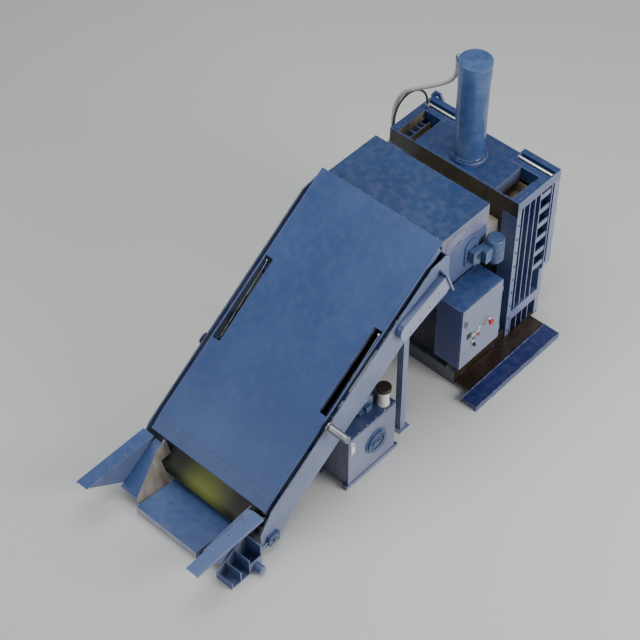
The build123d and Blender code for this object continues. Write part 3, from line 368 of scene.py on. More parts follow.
@dataclass(frozen=True)
class BeltCover(Finish):
    """PVC conveyor belting with a coarse woven imprint and dirt patches, painted paler along its middle and in shade
    towards its sides.
    """

    colour: str = "#767d2b"
    dirt_and_shade: str = "#1d210e"
    weave_mm: float = 14.0
    roughness: float = 0.5

    def shade(self, tree: Tree) -> dict[str, Socket | float]:
        """Build the imprint, the dirt, the painted shade towards the sides and the polish."""
        here = add_node(tree, "ShaderNodeTexCoord").outputs["Object"]
        dirt = noise(tree, stretched(tree, here, (0.6, 2.2, 0.6)), 2.4, 7.0)
        dark = remap(tree, dirt, 0.48, 0.72, smooth=True)
        split = add_node(tree, "ShaderNodeSeparateXYZ", inputs={"Vector": here})
        # Painted shade: the belt darkens towards its sides, leaving a lit band down its middle.
        edge = remap(tree, maths(tree, "ABSOLUTE", split.outputs["Y"]), 0.04, 0.36, smooth=True)
        scale = math.pi / WAVE_BANDS * per(self.weave_mm)
        across, along = (bands(tree, here, direction, scale, 0.4) for direction in "YX")
        return {
            "Base Color": mix(tree, maths(tree, "MAXIMUM", dark, edge), self.colour, self.dirt_and_shade),
            "Roughness": remap(tree, dark, 0.0, 1.0, self.roughness, self.roughness - 0.18),
            "Normal": bump(tree, maths(tree, "MULTIPLY", across, along), 0.35, 0.002),
            "IOR": 1.53,
        }


@dataclass(frozen=True)
class Braid(Finish):
    """Braided hose cover: two families of strands that cross as they wind round the hose."""

    colour: str = "#cfceca"
    gap: str = "#74736d"
    strands: float = 10.0
    turns: float = 90.0
    roughness: float = 0.5

    def shade(self, tree: Tree) -> dict[str, Socket | float]:
        """Build the crossing strands, on the hose's own UV map."""
        place = add_node(tree, "ShaderNodeTexCoord").outputs["UV"]
        step = math.pi / WAVE_BANDS
        families = []
        for hand in (1.0, -1.0):
            turned = stretched(tree, place, (self.turns * step, hand * self.strands * step, 1.0))
            families.append(bands(tree, turned, "DIAGONAL", 1.0))
        crossed = maths(tree, "MAXIMUM", *families)
        return {
            "Base Color": mix(tree, crossed, self.gap, self.colour),
            "Roughness": self.roughness,
            "Normal": bump(tree, crossed, 0.6, 0.0015),
        }


# Deep blue enamel on the press, paler and greyer blue on the conveyor's sheets.
PRESS_BLUE = Enamel("press_blue_enamel", "press_paint", colour="#1f3869", faded="#264173")
BARREL_BLUE = Enamel(
    "barrel_enamel",
    "press_paint",
    colour="#314e7e",
    faded="#4b6794",
    lit_side_strength=0.0,
    roughness=0.3,
    cloud_mm=200.0,
    dent_mm=900.0,
)
PRESS_SIDE = Enamel(
    "press_side_enamel",
    "press_paint",
    colour="#34467a",
    faded="#55638c",
    edge="#c3c9da",
    lit_side_colour="#8d93ae",
    lit_side_strength=0.8,
    linings=(Lining(Facing.TO_AXIS_Y, "#8f8358"),),
)
PRESS_PANEL = Enamel(
    "press_panel_enamel",
    "press_paint",
    colour="#33507f",
    faded="#42608f",
    # Painted shade: faces that look to -X turn near-black.
    linings=(Lining(Facing.TO_AXIS_X, "#8f8358"), Lining(Facing.FRONT, "#0c0c10", "#08080a")),
)
HEAD_BLUE = Enamel(
    "press_head_enamel",
    "press_paint",
    colour="#1f3869",
    faded="#264173",
    linings=(
        Lining(Facing.TO_AXIS_Y, "#8d8468", "#5a5040"),
        Lining(Facing.TO_AXIS_X, "#3a2c22", "#241b16"),
        # Painted shade: the head's faces that look to -X turn near-black.
        Lining(Facing.FRONT, "#0c0c10", "#08080a"),
    ),
)
DOOR_BLUE = Enamel("bale_door_enamel", "press_paint", colour="#33507f", faded="#42608f", lit_side_strength=0.3)
HOOD_BLUE = Enamel(
    "hood_enamel", "hood_paint", colour="#2e4b81", faded="#38568c", edge="#b4c0d8", roughness=0.42, cloud_mm=900.0
)
BOX_BLUE = Enamel(
    "head_box_enamel",
    "hood_paint",
    colour="#1f3966",
    faded="#26426f",
    edge="#b4c0d8",
    lit_side_colour="#8a8ba0",
    lit_side_strength=0.85,
)
TRAY_BLUE = Enamel(
    "tray_enamel",
    "hood_paint",
    colour="#3a5488",
    faded="#4c6696",
    edge="#b4c0d8",
    linings=(Lining(Facing.FRONT, "#a4a7b4", "#83879a"),),
)
POST_GREY = Enamel(
    "post_enamel", "frame_paint", colour="#6a7492", faded="#7d86a2", edge="#c8cedd", lit_side_colour="#8890ab", dusting=0.2
)
FRAME_GREY = Enamel(
    "conveyor_frame_enamel",
    "frame_paint",
    colour="#3a4c78",
    faded="#52628a",
    edge="#c8cedd",
    lit_side_colour="#8890ab",
    lit_side_strength=0.75,
    dusting=0.3,
)
DUCT_GREY = Enamel(
    "duct_enamel", "frame_paint", colour="#3a4c78", faded="#52628a", edge="#20263c", lit_side_colour="#a3a9bf", lit_side_strength=0.95
)
HEAD_PLATE_BLUE = Enamel(
    "head_plate_enamel", "frame_paint", colour="#2f4474", faded="#3d5484", edge="#c8cedd", lit_side_strength=0.35
)
HOPPER_BLUE = Enamel(
    "hopper_enamel",
    "cream_paint",
    colour="#3b5588",
    faded="#4d6797",
    edge="#c8cedd",
    linings=(Lining(Facing.TO_AXIS_Y, "#a39a90", "#5f4e42"),),
)
CABINET_BLUE = Enamel(
    "cabinet_enamel",
    "cabinet_paint",
    colour="#283e6c",
    faded="#2f4776",
    edge="#c3c9da",
    lit_side_colour="#82869f",
    lit_side_strength=0.85,
    roughness=0.3,
    # Painted shade: the cabinet's side that looks to -X is a darker blue.
    linings=(Lining(Facing.FRONT, "#3e4679", "#353b6b"),),
)
TANK_GREY = Enamel(
    "tank_enamel",
    "frame_paint",
    colour="#2c3a62",
    faded="#3a4770",
    edge="#c3c9da",
    lit_side_colour="#868aa3",
    lit_side_strength=0.9,
    linings=(Lining(Facing.FRONT, "#5f637c", "#4b4e64"),),
)
BASE_GREASY = Enamel(
    "greasy_base_enamel",
    "press_paint",
    colour="#33353f",
    faded="#43444d",
    edge="#8f93a2",
    dust="#4b4038",
    lit_side_strength=0.0,
    roughness=0.3,
    linings=(Lining(Facing.FRONT, "#5b5c65", "#43434b"), Lining(Facing.NEAR_SIDE, "#3a2c22", "#1d1611")),
)
OILY_SHEET = Enamel(
    "oily_sheet",
    "oily_steel",
    colour="#2a1f18",
    faded="#40342b",
    edge="#6a5f55",
    dust="#4d4136",
    lit_side_strength=0.0,
    roughness=0.24,
    cloud_mm=240.0,
)
SKID_BLUE = Enamel(
    "skid_enamel", "press_paint", colour="#1b2860", faded="#202e68", edge="#b9c2da", edge_band_mm=8.0, lit_side_strength=0.3
)
MACHINE_BLUE = Enamel(
    "machine_enamel", "motor_paint", colour="#2f466f", faded="#3f5983", edge="#a9b4cc", lit_side_strength=0.25
)
CREAM = Enamel(
    "cream_enamel", "cream_paint", colour="#b8ab8c", faded="#948870", edge="#6d6455", dust="#5a5447", cloud_mm=180.0
)
ZINC = BareMetal("zinc_plated_steel", "steel", colour="#c4c6c8", smear="#8f9296", roughness=0.3)
STEEL = BareMetal("drawn_steel", "steel", colour="#9ea1a5", smear="#6d6a66", roughness=0.36)
CHROME = BareMetal("hard_chrome", "chrome", colour="#e6e8ea", smear="#b9bcc0", roughness=0.1, smear_mm=120.0)
STRUT_STEEL = BareMetal(
    "greasy_strut_steel", "dark_plastic", colour="#8a8d93", smear="#2b2a2a", mark_mm=6.0, roughness=0.3
)
BLACK_RUBBER = Moulding("black_rubber", "black_rubber", colour="#151515", roughness=0.6)
DARK_PLASTIC = Moulding("brown_black_abs", "dark_plastic", colour="#241a14", scuff="#4c4038", roughness=0.4)
WHITE_PLASTIC = Moulding("white_abs", "white_plastic", colour="#dedcd4", scuff="#a9a498", roughness=0.3, coat=0.3)
RED_PLASTIC = Moulding("red_abs", "red_plastic", colour="#b81414", scuff="#7a2a22", roughness=0.28, coat=0.4)
GREEN_PLASTIC = Moulding("green_abs", "green_plastic", colour="#157a2c", scuff="#2c5a34", roughness=0.28, coat=0.4)
GAUGE_PLASTIC = Moulding("gauge_acrylic", "clear_gauge", colour="#eceeea", scuff="#c9c6b8", roughness=0.14, coat=0.6)
BELTING = BeltCover("pvc_belting", "belt_rubber")
HOSE_BRAID = Braid("braided_hose_cover", "hose_cover")


def dress(finish: Finish, *names: str) -> None:
    """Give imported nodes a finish.

    Args:
        finish: the finish.
        names: the nodes' names.
    """
    for name in names:
        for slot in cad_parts[name].material_slots:
            slot.material = finish.material()
        log.info("dressed %s in %s", name, finish.name)


def make_piece(mesh: Mesh, name: str, finish: Finish, body: Body) -> bpy.types.Object:
    """Turn a bmesh into a piece that rides on a body.

    Args:
        mesh: the shape, in place. It is freed.
        name: the piece's name.
        finish: its finish.
        body: the body it rides on.

    Returns:
        The new object.
    """
    bmesh.ops.remove_doubles(mesh, verts=mesh.verts, dist=1e-6)
    bmesh.ops.recalc_face_normals(mesh, faces=mesh.faces)
    data = bpy.data.meshes.new(name)
    mesh.to_mesh(data)
    mesh.free()
    data.shade_smooth()
    data.set_sharp_from_angle(angle=SHARP_ANGLE)
    data.materials.append(finish.material())
    piece = bpy.data.objects.new(name, data)
    bpy.context.scene.collection.objects.link(piece)
    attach(piece, body.value)
    log.info("built %s on %s: %d faces", name, body.value, len(data.polygons))
    return piece


def centre_of(name: str) -> Vector:
    """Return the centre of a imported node's box."""
    low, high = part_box(name)
    return (Vector(low) + Vector(high)) / 2


def facing(centre: Sequence[float], axis: Sequence[float]) -> Matrix:
    """Return the matrix that puts +Z of a shape along an axis at a place."""
    return Matrix.Translation(centre) @ Vector(axis).to_track_quat("Z", "Y").to_matrix().to_4x4()


def add_round(
    mesh: Mesh,
    foot: Sequence[float],
    axis: Sequence[float],
    radius: float,
    length: float,
    sides: int = 24,
    soften: float = 0.0,
    tip: float | None = None,
) -> None:
    """Add a capped bar, or a prism with few sides, that stands on its foot.

    Args:
        mesh: the bmesh it joins.
        foot: centre of its lower end.
        axis: direction from foot to tip.
        radius: radius at the foot.
        length: its length.
        sides: number of sides.
        soften: width of the bevel on its end edges.
        tip: radius at the tip, where it differs.
    """
    before = set(mesh.faces)
    centre = Vector(foot) + Vector(axis).normalized() * length / 2
    bmesh.ops.create_cone(
        mesh,
        cap_ends=True,
        segments=sides,
        radius1=radius,
        radius2=radius if tip is None else tip,
        depth=length,
        matrix=facing(centre, axis),
    )
    if soften:
        caps = [face for face in mesh.faces if face not in before and len(face.verts) == sides]
        rims = list({edge for face in caps for edge in face.edges})
        bmesh.ops.bevel(
            mesh, geom=rims, offset=soften, segments=2, profile=0.5, affect="EDGES", material=-1
        )


def add_plate(mesh: Mesh, low: Sequence[float], high: Sequence[float], soften: float) -> None:
    """Add a block between two corners, its edges softened.

    Args:
        mesh: the bmesh it joins.
        low: lowest corner.
        high: highest corner.
        soften: width of the bevel on its edges.
    """
    before = set(mesh.edges)
    size = Vector(high) - Vector(low)
    place = Matrix.Translation((Vector(high) + Vector(low)) / 2) @ Matrix.Diagonal((*size, 1.0))
    bmesh.ops.create_cube(mesh, size=1.0, matrix=place)
    edges = [edge for edge in mesh.edges if edge not in before]
    bmesh.ops.bevel(mesh, geom=edges, offset=soften, segments=2, profile=0.5, affect="EDGES", material=-1)


def add_ring(
    mesh: Mesh,
    centre: Sequence[float],
    axis: Sequence[float],
    ring: float,
    section: float,
    steps: int = 48,
) -> None:
    """Add a ring of round section, such as a weld bead, by a full spin of a circle.

    Args:
        mesh: the bmesh it joins.
        centre: the ring's centre.
        axis: its axis.
        ring: radius of the section's centre.
        section: radius of the section.
        steps: number of steps round the ring.
    """
    place = facing(centre, axis)
    made = bmesh.ops.create_circle(
        mesh,
        segments=10,
        radius=section,
        matrix=place @ Matrix.Translation((ring, 0, 0)) @ Matrix.Rotation(math.pi / 2, 4, "X"),
    )
    edges = list({edge for vert in made["verts"] for edge in vert.link_edges})
    bmesh.ops.spin(
        mesh,
        geom=made["verts"] + edges,
        cent=centre,
        axis=Vector(axis).normalized(),
        angle=2 * math.pi,
        steps=steps,
        use_merge=True,
    )


def add_bolt(mesh: Mesh, seat: Sequence[float], axis: Sequence[float], size: float = 0.008) -> None:
    """Add a hexagon bolt head on its washer.

    Args:
        mesh: the bmesh it joins.
        seat: centre of the washer's seat.
        axis: direction the head looks.
        size: radius of the hexagon.
    """
    lift = Vector(axis).normalized()
    add_round(mesh, seat, axis, size * 1.45, size * 0.22, sides=20, soften=size * 0.06)
    add_round(mesh, Vector(seat) + lift * size * 0.2, axis, size, size * 0.72, sides=6, soften=size * 0.1)


def add_bead(mesh: Mesh, start: Sequence[float], end: Sequence[float], radius: float) -> None:
    """Add a weld bead as a run of overlapping short drops.

    Args:
        mesh: the bmesh it joins.
        start: one end of the seam.
        end: its other end.
        radius: the bead's radius.
    """
    run = Vector(end) - Vector(start)
    drops = max(2, int(run.length / (radius * 3.2)))
    for i in range(drops):
        foot = Vector(start) + run * (i / drops)
        add_round(mesh, foot, run, radius, run.length / drops * 1.25, sides=7, tip=radius * 0.62)


@dataclass
class PressBody:
    """Press body: base, chamber walls, head and rear channels."""

    bolt: float = 0.011
    post_bolts: int = 9
    post_inset: float = 0.036  # from the press's front
    post_margin: float = 0.12  # from the post's ends to its first and last bolt
    rail_bolts: int = 4
    rail_start: float = 0.06
    rail_step: float = 0.105
    rail_y: float = 0.738
    bead: float = 0.005
    plate_seam_y: float = 0.482
    channel_seam: tuple[float, float] = (0.36, 0.69)

    def dress(self) -> None:
        """Dress the body's nodes."""
        dress(PRESS_BLUE, "rear_channels", "lifting_lug", "centre_head_plate", "door_hinges")
        dress(BASE_GREASY, "base_frame")
        dress(OILY_SHEET, "oil_trays")
        dress(PRESS_SIDE, "chamber_side_near", "chamber_side_far")
        dress(PRESS_PANEL, "chamber_back_panel", "chamber_front_panel")
        dress(HEAD_BLUE, "head_frame")
        dress(SKID_BLUE, "skids")
        dress(CHROME, "tie_rods")

    def build(self) -> None:
        """Build bolts and weld seams."""
        self.build_bolts()
        self.build_seams()

    def build_bolts(self) -> None:
        """Bolt rows down both front posts and along the head's rails."""
        low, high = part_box("head_frame")
        step = (low.z - 2 * self.post_margin) / (self.post_bolts - 1)
        mesh = bmesh.new()
        for side in (-1, 1):
            for i in range(self.post_bolts):
                seat = (low.x + self.post_inset, side * high.y, self.post_margin + i * step)
                add_bolt(mesh, seat, (0, side, 0), self.bolt)
            for i in range(self.rail_bolts):
                x = low.x + self.rail_start + i * self.rail_step
                add_bolt(mesh, (x, side * self.rail_y, high.z), (0, 0, 1), self.bolt)
        make_piece(mesh, "press_bolts", PRESS_BLUE, Body.FRAME)

    def build_seams(self) -> None:
        """Weld beads round the head plate, at the rear channels and along the base."""
        low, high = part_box("centre_head_plate")
        channel_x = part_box("rear_channels")[0].x
        base_low, base_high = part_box("base_frame")
        inner, outer = self.channel_seam
        mesh = bmesh.new()
        for side in (-1, 1):
            y = side * self.plate_seam_y
            add_bead(mesh, (low.x + 0.004, y, high.z), (channel_x, y, high.z), self.bead)
            add_bead(mesh, (channel_x, side * inner, high.z), (channel_x, side * outer, high.z), self.bead)
        add_bead(mesh, (low.x, low.y, high.z), (low.x, high.y, high.z), self.bead)
        x = base_low.x + 0.016
        add_bead(mesh, (x, base_low.y + 0.02, 0.171), (x, base_high.y - 0.02, 0.171), 0.004)
        make_piece(mesh, "press_weld_seams", PRESS_BLUE, Body.FRAME)


@dataclass
class RamCylinder:
    """Main cylinder with its flange, and the ram below it."""

    tube_radius: float = 0.150
    collar_drop: float = 0.195  # from the top to the collar's lower edge
    cap_drop: float = 0.022

    def dress(self) -> None:
        """Dress the cylinder's and the ram's nodes."""
        dress(BARREL_BLUE, "cylinder_barrel")
        dress(PRESS_BLUE, "cylinder_flange", "flange_bolts")
        dress(CHROME, "piston_rod")
        dress(CREAM, "platen")

    def build(self) -> None:
        """Build the weld rings at the barrel's foot, under its collar and round its cap."""
        low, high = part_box("cylinder_barrel")
        collar = (high.x - low.x) / 2
        mesh = bmesh.new()
        add_ring(mesh, (0, 0, low.z + 0.004), (0, 0, 1), self.tube_radius + 0.001, 0.009, steps=64)
        add_ring(mesh, (0, 0, high.z - self.collar_drop), (0, 0, 1), self.tube_radius, 0.005, steps=64)
        add_ring(mesh, (0, 0, high.z - self.cap_drop), (0, 0, 1), collar - 0.001, 0.0035, steps=64)
        make_piece(mesh, "barrel_weld_rings", PRESS_BLUE, Body.FRAME)


@dataclass
class BaleDoor:
    """Bale door with its lever latch."""

    grip_radius: float = 0.0195
    grip_length: float = 0.076
    lever_y: float = -0.52
    lever_drop: float = 0.025  # from the latch's top to the grip's axis

    def dress(self) -> None:
        """Dress the door's nodes."""
        dress(DOOR_BLUE, "bale_door")
        dress(STEEL, "door_latch")

    def build(self) -> None:
        """Build the rubber grip on the lever."""
        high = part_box("door_latch")[1]
        foot = (high.x - self.grip_length - 0.002, self.lever_y, high.z - self.lever_drop)
        mesh = bmesh.new()
        add_round(mesh, foot, (1, 0, 0), self.grip_radius, self.grip_length, sides=24, soften=0.004)
        make_piece(mesh, "latch_grip", BLACK_RUBBER, Body.LATCH)


@dataclass
class Conveyor:
    """Inclined belt conveyor: frame, drums, belt, head housing and drive."""

    bolt: float = 0.009
    head_pattern: tuple[float, float] = (0.058, 0.085)  # half spacings of each bearing's four bolts
    tail_pattern: tuple[float, float] = (0.05, 0.042)
    duct_screws: int = 5
    duct_screw: float = 0.006
    motor_radius: float = 0.090
    fins: int = 11
    fin_low: float = 1.475
    fin_step: float = 0.018
    cover_rings: tuple[tuple[float, float], ...] = ((0.085, 0.006), (0.060, 0.004))
    cover_stretch: float = 1.7

    def dress(self) -> None:
        """Dress the conveyor's nodes."""
        dress(FRAME_GREY, "conveyor_side_near", "conveyor_side_far", "slider_bed")
        dress(POST_GREY, "support_posts")
        dress(HEAD_PLATE_BLUE, "head_side_plates")
        dress(DUCT_GREY, "cable_duct")
        dress(BOX_BLUE, "head_housing")
        dress(MACHINE_BLUE, "drum_bearings", "gear_motor")
        dress(CREAM, "feed_chute")
        dress(BELTING, "belt")
        dress(STEEL, "head_drum", "tail_drum", "return_roller", "lifting_stubs", "hood_hinge_rod")

    def build(self) -> None:
        """Build bolts, the duct lid's screws, motor fins and the rings on the head box's side cover."""
        self.build_bolts()
        self.build_duct_lid()
        self.build_motor_fins()
        self.build_side_cover()

    def build_bolts(self) -> None:
        """Four bolts on each of the drums' bearings."""
        head_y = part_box("head_housing")[1].y + 0.009
        tail_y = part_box("drum_bearings")[1].y - 0.01
        mesh = bmesh.new()
        rows = (("head_drum", head_y, self.head_pattern), ("tail_drum", tail_y, self.tail_pattern))
        for node, y, pattern in rows:
            axis = centre_of(node)
            for hand, right, up in product((-1, 1), repeat=3):
                seat = (axis.x + right * pattern[0], hand * y, axis.z + up * pattern[1])
                add_bolt(mesh, seat, (0, hand, 0), self.bolt)
        make_piece(mesh, "conveyor_bolts", MACHINE_BLUE, Body.FRAME)

    def build_duct_lid(self) -> None:
        """Screws along the cable duct's cover."""
        low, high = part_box("cable_duct")
        mesh = bmesh.new()
        y = low.y + 0.026
        start, end = Vector((low.x + 0.13, y, 1.47)), Vector((high.x - 0.06, y, 1.73))
        for i in range(self.duct_screws):
            add_bolt(mesh, start.lerp(end, i / (self.duct_screws - 1)), (0, -1, 0), self.duct_screw)
        make_piece(mesh, "duct_screws", DUCT_GREY, Body.FRAME)

    def build_motor_fins(self) -> None:
        """Cooling fins round the gear motor's barrel."""
        low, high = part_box("gear_motor")
        x, y = high.x - self.motor_radius, low.y + self.motor_radius
        mesh = bmesh.new()
        for i in range(self.fins):
            foot = (x, y, self.fin_low + i * self.fin_step)
            add_round(mesh, foot, (0, 0, 1), self.motor_radius + 0.002, 0.005, sides=48)
        make_piece(mesh, "gear_motor_fins", MACHINE_BLUE, Body.FRAME)

    def build_side_cover(self) -> None:
        """Oval pressed rings of the cover on the head box's near side."""
        low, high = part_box("head_housing")
        mesh = bmesh.new()
        middle = Vector(((low.x + high.x) / 2 - 0.10, low.y, high.z - 0.15))
        for ring, section in self.cover_rings:
            add_ring(mesh, middle, (0, 1, 0), ring, section)
        stretch = (self.cover_stretch, 1.0, 1.0)
        bmesh.ops.scale(mesh, vec=stretch, space=Matrix.Translation(-middle), verts=mesh.verts)
        make_piece(mesh, "head_cover_rings", BOX_BLUE, Body.FRAME)


@dataclass
class Hood:
    """Sheet hood over the belt, with its gas struts."""

    hem: float = 0.006
    incline: float = math.radians(35.1)
    upper_edge: tuple[float, float] = (-1.268, 2.090)
    half_width: float = 0.72
    crease: float = 2.677  # down the slope from the upper edge
    nose: float = 2.834
    nose_drop: float = 0.022

    def dress(self) -> None:
        """Dress the hood and its struts."""
        dress(HOOD_BLUE, "hood_lid")
        dress(STRUT_STEEL, "strut_bodies")
        dress(CHROME, "strut_rods")

    def on_slope(self, along: float, above: float, y: float) -> Vector:
        """Point down the hood from its upper edge and above its top face."""
        x = self.upper_edge[0] - along * math.cos(self.incline) - above * math.sin(self.incline)
        z = self.upper_edge[1] - along * math.sin(self.incline) + above * math.cos(self.incline)
        return Vector((x, y, z))

    def build(self) -> None:
        """Folded hems along the hood's sides and nose, and the ridge of its crease."""
        mesh = bmesh.new()
        edge = self.half_width - self.hem
        for y in (-edge, edge):
            self.add_hem(mesh, self.on_slope(0.0, -0.003, y), self.on_slope(self.crease, -0.003, y))
            nose = self.on_slope(self.nose, -self.nose_drop - 0.003, y)
            self.add_hem(mesh, self.on_slope(self.crease, -0.003, y), nose)
        nose = [self.on_slope(self.nose, -self.nose_drop - 0.003, y) for y in (-edge, edge)]
        self.add_hem(mesh, *nose)
        ridge_end = self.half_width - 0.02
        ridge = [self.on_slope(self.crease, -0.001, y) for y in (-ridge_end, ridge_end)]
        self.add_hem(mesh, *ridge, radius=0.0035)
        make_piece(mesh, "hood_hems", HOOD_BLUE, Body.HOOD)

    def add_hem(self, mesh: Mesh, start: Vector, end: Vector, radius: float | None = None) -> None:
        """Add a rolled edge between two points, as thick as the hems unless told otherwise."""
        add_round(mesh, start, end - start, radius or self.hem, (end - start).length, sides=12)


@dataclass
class LoadingHopper:
    """Floor-level hopper with its leaning walls, wings and tail guard."""

    def dress(self) -> None:
        """Dress the hopper's nodes."""
        dress(TRAY_BLUE, "hopper_floor")
        dress(HOOD_BLUE, "wings")
        dress(HOPPER_BLUE, "hopper_sides")
        dress(FRAME_GREY, "tail_guard")

    def build(self) -> None:
        """Bolts that hold the wings to the hopper's rims."""
        low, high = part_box("wings")
        mesh = bmesh.new()
        for side in (-1, 1):
            for i in range(4):
                add_bolt(mesh, (low.x + 0.1 + i * 0.2, side * (high.y - 0.1), high.z), (0, 0, 1), 0.007)
        make_piece(mesh, "wing_bolts", HOOD_BLUE, Body.FRAME)


@dataclass
class ControlCabinet:
    """Control cabinet and what its door carries."""

    face: float = -1.001  # Y of the door's front
    buttons: tuple[tuple[str, float], ...] = (
        ("start_button", 0.021),
        ("stop_button", 0.021),
        ("selector_switch", 0.024),
    )
    lamps: tuple[tuple[str, float, Finish], ...] = (
        ("run_lamp", -1.060, GREEN_PLASTIC),
        ("power_lamp", -0.990, WHITE_PLASTIC),
        ("fault_lamp", -0.920, RED_PLASTIC),
    )
    lamp_z: float = 0.985

    def dress(self) -> None:
        """Dress the cabinet's nodes."""
        dress(CABINET_BLUE, "cabinet_box", "cabinet_door")
        dress(ZINC, "door_lock")
        dress(GREEN_PLASTIC, "start_button")
        dress(RED_PLASTIC, "stop_button", "estop_button")
        dress(BLACK_RUBBER, "selector_switch")

    def build(self) -> None:
        """Build what is fixed to the door."""
        self.build_collars()
        self.build_lamps()

    def build_collars(self) -> None:
        """Collars round the buttons, blank legend plates over them and the e-stop's round backing."""
        plates = bmesh.new()
        collars = bmesh.new()
        for node, radius in self.buttons:
            x, _, z = centre_of(node)
            add_ring(collars, (x, self.face - 0.002, z), (0, 1, 0), radius, 0.0035, steps=32)
            low = (x - 0.024, self.face - 0.0012, z + 0.03)
            add_plate(plates, low, (x + 0.024, self.face, z + 0.046), soften=0.0005)
        x, _, z = centre_of("estop_button")
        add_ring(collars, (x, self.face - 0.002, z), (0, 1, 0), 0.038, 0.004, steps=40)
        make_piece(collars, "button_collars", ZINC, Body.CABINET_DOOR)
        make_piece(plates, "legend_plates", WHITE_PLASTIC, Body.CABINET_DOOR)
        backing = bmesh.new()
        add_round(backing, (x, self.face, z), (0, -1, 0), 0.034, 0.003, sides=40)
        make_piece(backing, "estop_backing", GAUGE_PLASTIC, Body.CABINET_DOOR)

    def build_lamps(self) -> None:
        """Indicator lamps and a blank meter in a row above the buttons."""
        bezels = bmesh.new()
        for name, x, finish in self.lamps:
            add_ring(bezels, (x, self.face - 0.002, self.lamp_z), (0, 1, 0), 0.015, 0.003, steps=32)
            lens = bmesh.new()
            add_round(lens, (x, self.face, self.lamp_z), (0, -1, 0), 0.014, 0.009, sides=32, soften=0.003)
            make_piece(lens, name, finish, Body.CABINET_DOOR)
        make_piece(bezels, "lamp_bezels", ZINC, Body.CABINET_DOOR)
        meter = bmesh.new()
        add_plate(meter, (-1.165, self.face - 0.008, 0.955), (-1.105, self.face, 1.015), soften=0.003)
        make_piece(meter, "hour_meter", DARK_PLASTIC, Body.CABINET_DOOR)


@dataclass
class PowerUnit:
    """Hydraulic tank with its motor, valve block, filter and gauge."""

    motor_radius: float = 0.076
    motor_y: float = -0.665
    fins: int = 12
    fin_start: float = -2.34
    fin_step: float = 0.0135
    lid_bolts: int = 6
    lid_bolt_start: float = -2.60
    lid_bolt_step: float = 0.12
    lid_bolt_rows: tuple[float, float] = (-0.842, -0.526)
    cover_rings: tuple[float, ...] = (0.050, 0.085, 0.118)

    def dress(self) -> None:
        """Dress the power unit's nodes."""
        dress(TANK_GREY, "hydraulic_tank")
        dress(MACHINE_BLUE, "tank_cover", "pump_motor")
        dress(GAUGE_PLASTIC, "sight_gauge")
        dress(WHITE_PLASTIC, "return_filter")
        dress(DARK_PLASTIC, "filter_cap")
        dress(STEEL, "valve_block", "hose_fittings")

    def build(self) -> None:
        """Motor fins, lid bolts, the gauge's screws and the cover's rings."""
        axis_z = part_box("pump_motor")[1].z - self.motor_radius
        fins = bmesh.new()
        for i in range(self.fins):
            foot = (self.fin_start + i * self.fin_step, self.motor_y, axis_z)
            add_round(fins, foot, (1, 0, 0), self.motor_radius + 0.005, 0.003, sides=32)
        make_piece(fins, "pump_motor_fins", MACHINE_BLUE, Body.FRAME)
        lid_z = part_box("hydraulic_tank")[1].z
        bolts = bmesh.new()
        for i, y in product(range(self.lid_bolts), self.lid_bolt_rows):
            add_bolt(bolts, (self.lid_bolt_start + i * self.lid_bolt_step, y, lid_z), (0, 0, 1), 0.006)
        make_piece(bolts, "tank_lid_bolts", ZINC, Body.FRAME)
        low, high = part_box("sight_gauge")
        screws = bmesh.new()
        for z in (low.z + 0.014, high.z - 0.014):
            add_bolt(screws, ((low.x + high.x) / 2, low.y, z), (0, -1, 0), 0.009)
        make_piece(screws, "gauge_screws", ZINC, Body.FRAME)
        middle = centre_of("tank_cover")
        middle.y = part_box("tank_cover")[0].y
        rings = bmesh.new()
        for ring in self.cover_rings:
            add_ring(rings, middle, (0, 1, 0), ring, 0.004, steps=56)
        make_piece(rings, "cover_rings", MACHINE_BLUE, Body.FRAME)


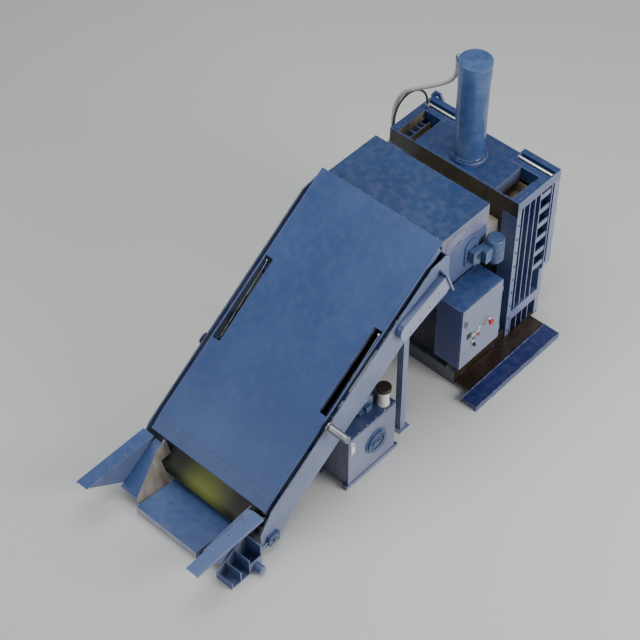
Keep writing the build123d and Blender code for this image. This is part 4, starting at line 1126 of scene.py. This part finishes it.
@dataclass
class Hoses:
    """Pressure hose from the cylinder's port to the press side, and the thin pilot hose beside it."""

    pressure_route: tuple[Point, ...] = (
        (0, 0.196, 2.879),
        (0, 0.196, 2.745),
        (0.004, 0.265, 2.600),
        (0, 0.420, 2.465),
        (0, 0.610, 2.320),
        (-0.010, 0.800, 2.185),
        (-0.030, 0.890, 2.000),
        (-0.060, 0.885, 1.800),
        (-0.060, 0.885, 1.605),
    )
    pilot_route: tuple[Point, ...] = (
        (0.228, 0.700, 1.900),
        (0.228, 0.700, 2.045),
        (0.128, 0.746, 2.160),
        (-0.018, 0.802, 2.120),
        (-0.122, 0.832, 1.930),
        (-0.122, 0.832, 1.690),
    )

    def build(self) -> None:
        """Build both hoses and their crimped ferrules."""
        self.build_hose("pressure_line", self.pressure_route, 0.040, 1.57, HOSE_BRAID, "pressure_hose")
        self.build_hose("pilot_line", self.pilot_route, 0.024, 0.89, BLACK_RUBBER, "pilot_hose")
        self.build_ferrules()

    def build_hose(
        self, name: str, route: tuple[Point, ...], diameter: float, length: float, finish: Finish, node: str
    ) -> None:
        """Build one hose as a NURBS curve through its route.

        Args:
            name: the piece's name.
            route: its control points.
            diameter: its outside diameter.
            length: its real length.
            finish: its finish.
            node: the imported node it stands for.
        """
        curve = bpy.data.curves.new(name, "CURVE")
        curve.dimensions = "3D"
        curve.bevel_depth = diameter / 2
        curve.bevel_resolution = 6
        curve.resolution_u = 16
        spline = curve.splines.new("NURBS")
        spline.points.add(len(route) - 1)
        for point, place in zip(spline.points, route):
            point.co = (*place, 1.0)
        spline.order_u = 3
        spline.use_endpoint_u = True
        curve.materials.append(finish.material())
        hose = bpy.data.objects.new(name, curve)
        bpy.context.scene.collection.objects.link(hose)
        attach(hose, Body.FRAME.value)
        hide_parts(node)
        log.info("built %s, %.2f m", name, length)

    def build_ferrules(self) -> None:
        """Crimped steel ferrules on the hoses' ends."""
        mesh = bmesh.new()
        for route, radius in ((self.pressure_route, 0.024), (self.pilot_route, 0.0155)):
            for end, inner in ((route[0], route[1]), (route[-1], route[-2])):
                run = (Vector(inner) - Vector(end)).normalized()
                add_round(mesh, end, run, radius, radius * 2.2, sides=28, soften=radius * 0.12)
                for ridge in (0.5, 1.1, 1.7):
                    add_ring(mesh, Vector(end) + run * radius * ridge, run, radius, radius * 0.08, steps=28)
        make_piece(mesh, "hose_ferrules", ZINC, Body.FRAME)


@dataclass
class Studio:
    """Plain floor, soft lights and the camera."""

    camera_place: Point = (-10.3999, -7.6050, 13.6027)
    target: Point = (-1.25, 0.75, 0.0)
    lens: float = 103.5

    def build(self) -> None:
        """Build the floor, the lights and the camera."""
        self.build_floor()
        self.build_lights()
        self.build_camera()

    def build_floor(self) -> None:
        """Pale floor under everything."""
        mesh = bmesh.new()
        bmesh.ops.create_grid(mesh, x_segments=1, y_segments=1, size=40.0)
        data = bpy.data.meshes.new("floor")
        mesh.to_mesh(data)
        mesh.free()
        material = bpy.data.materials.new("pale_floor")
        material.use_nodes = True
        shader = material.node_tree.nodes["Principled BSDF"]
        shader.inputs["Base Color"].default_value = linear("#d6d6d4")
        shader.inputs["Roughness"].default_value = 0.9
        data.materials.append(material)
        floor = bpy.data.objects.new("floor", data)
        bpy.context.scene.collection.objects.link(floor)

    def build_lights(self) -> None:
        """A large key from the operator's side, a soft top light and a weak fill."""
        for name, place, size, power in (
            ("key", (1.0, -10.0, 5.5), 6.0, 900.0),
            ("top", (-1.5, 1.0, 10.0), 7.0, 500.0),
            ("fill", (-10.0, 3.0, 5.0), 5.0, 130.0),
        ):
            data = bpy.data.lights.new(name, "AREA")
            data.shape = "SQUARE"
            data.size = size
            data.energy = power
            light = bpy.data.objects.new(name, data)
            light.location = place
            light.rotation_mode = "QUATERNION"
            light.rotation_quaternion = (Vector((-1.5, 0, 1.0)) - Vector(place)).to_track_quat("-Z", "Y")
            bpy.context.scene.collection.objects.link(light)
        world = bpy.data.worlds.new("studio")
        world.use_nodes = True
        world.node_tree.nodes["Background"].inputs["Color"].default_value = linear("#e4e8ee")
        world.node_tree.nodes["Background"].inputs["Strength"].default_value = 0.42
        bpy.context.scene.world = world

    def build_camera(self) -> None:
        """Camera high over the hopper's corner, looking down at the middle of the machine."""
        data = bpy.data.cameras.new("camera")
        data.lens = self.lens
        data.sensor_width = 36.0
        data.clip_end = 200.0
        camera = bpy.data.objects.new("camera", data)
        camera.location = self.camera_place
        camera.rotation_mode = "QUATERNION"
        camera.rotation_quaternion = (Vector(self.target) - Vector(self.camera_place)).to_track_quat("-Z", "Y")
        bpy.context.scene.collection.objects.link(camera)
        bpy.context.scene.camera = camera


def main() -> None:
    """Dress and build every sub-assembly."""
    logging.basicConfig(level=logging.INFO, format="%(message)s")
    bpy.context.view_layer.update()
    Studio().build()
    Hoses().build()
    for part in (
        PressBody(),
        RamCylinder(),
        BaleDoor(),
        Conveyor(),
        Hood(),
        LoadingHopper(),
        ControlCabinet(),
        PowerUnit(),
    ):
        part.dress()
        part.build()


if __name__ == "__main__":
    main()
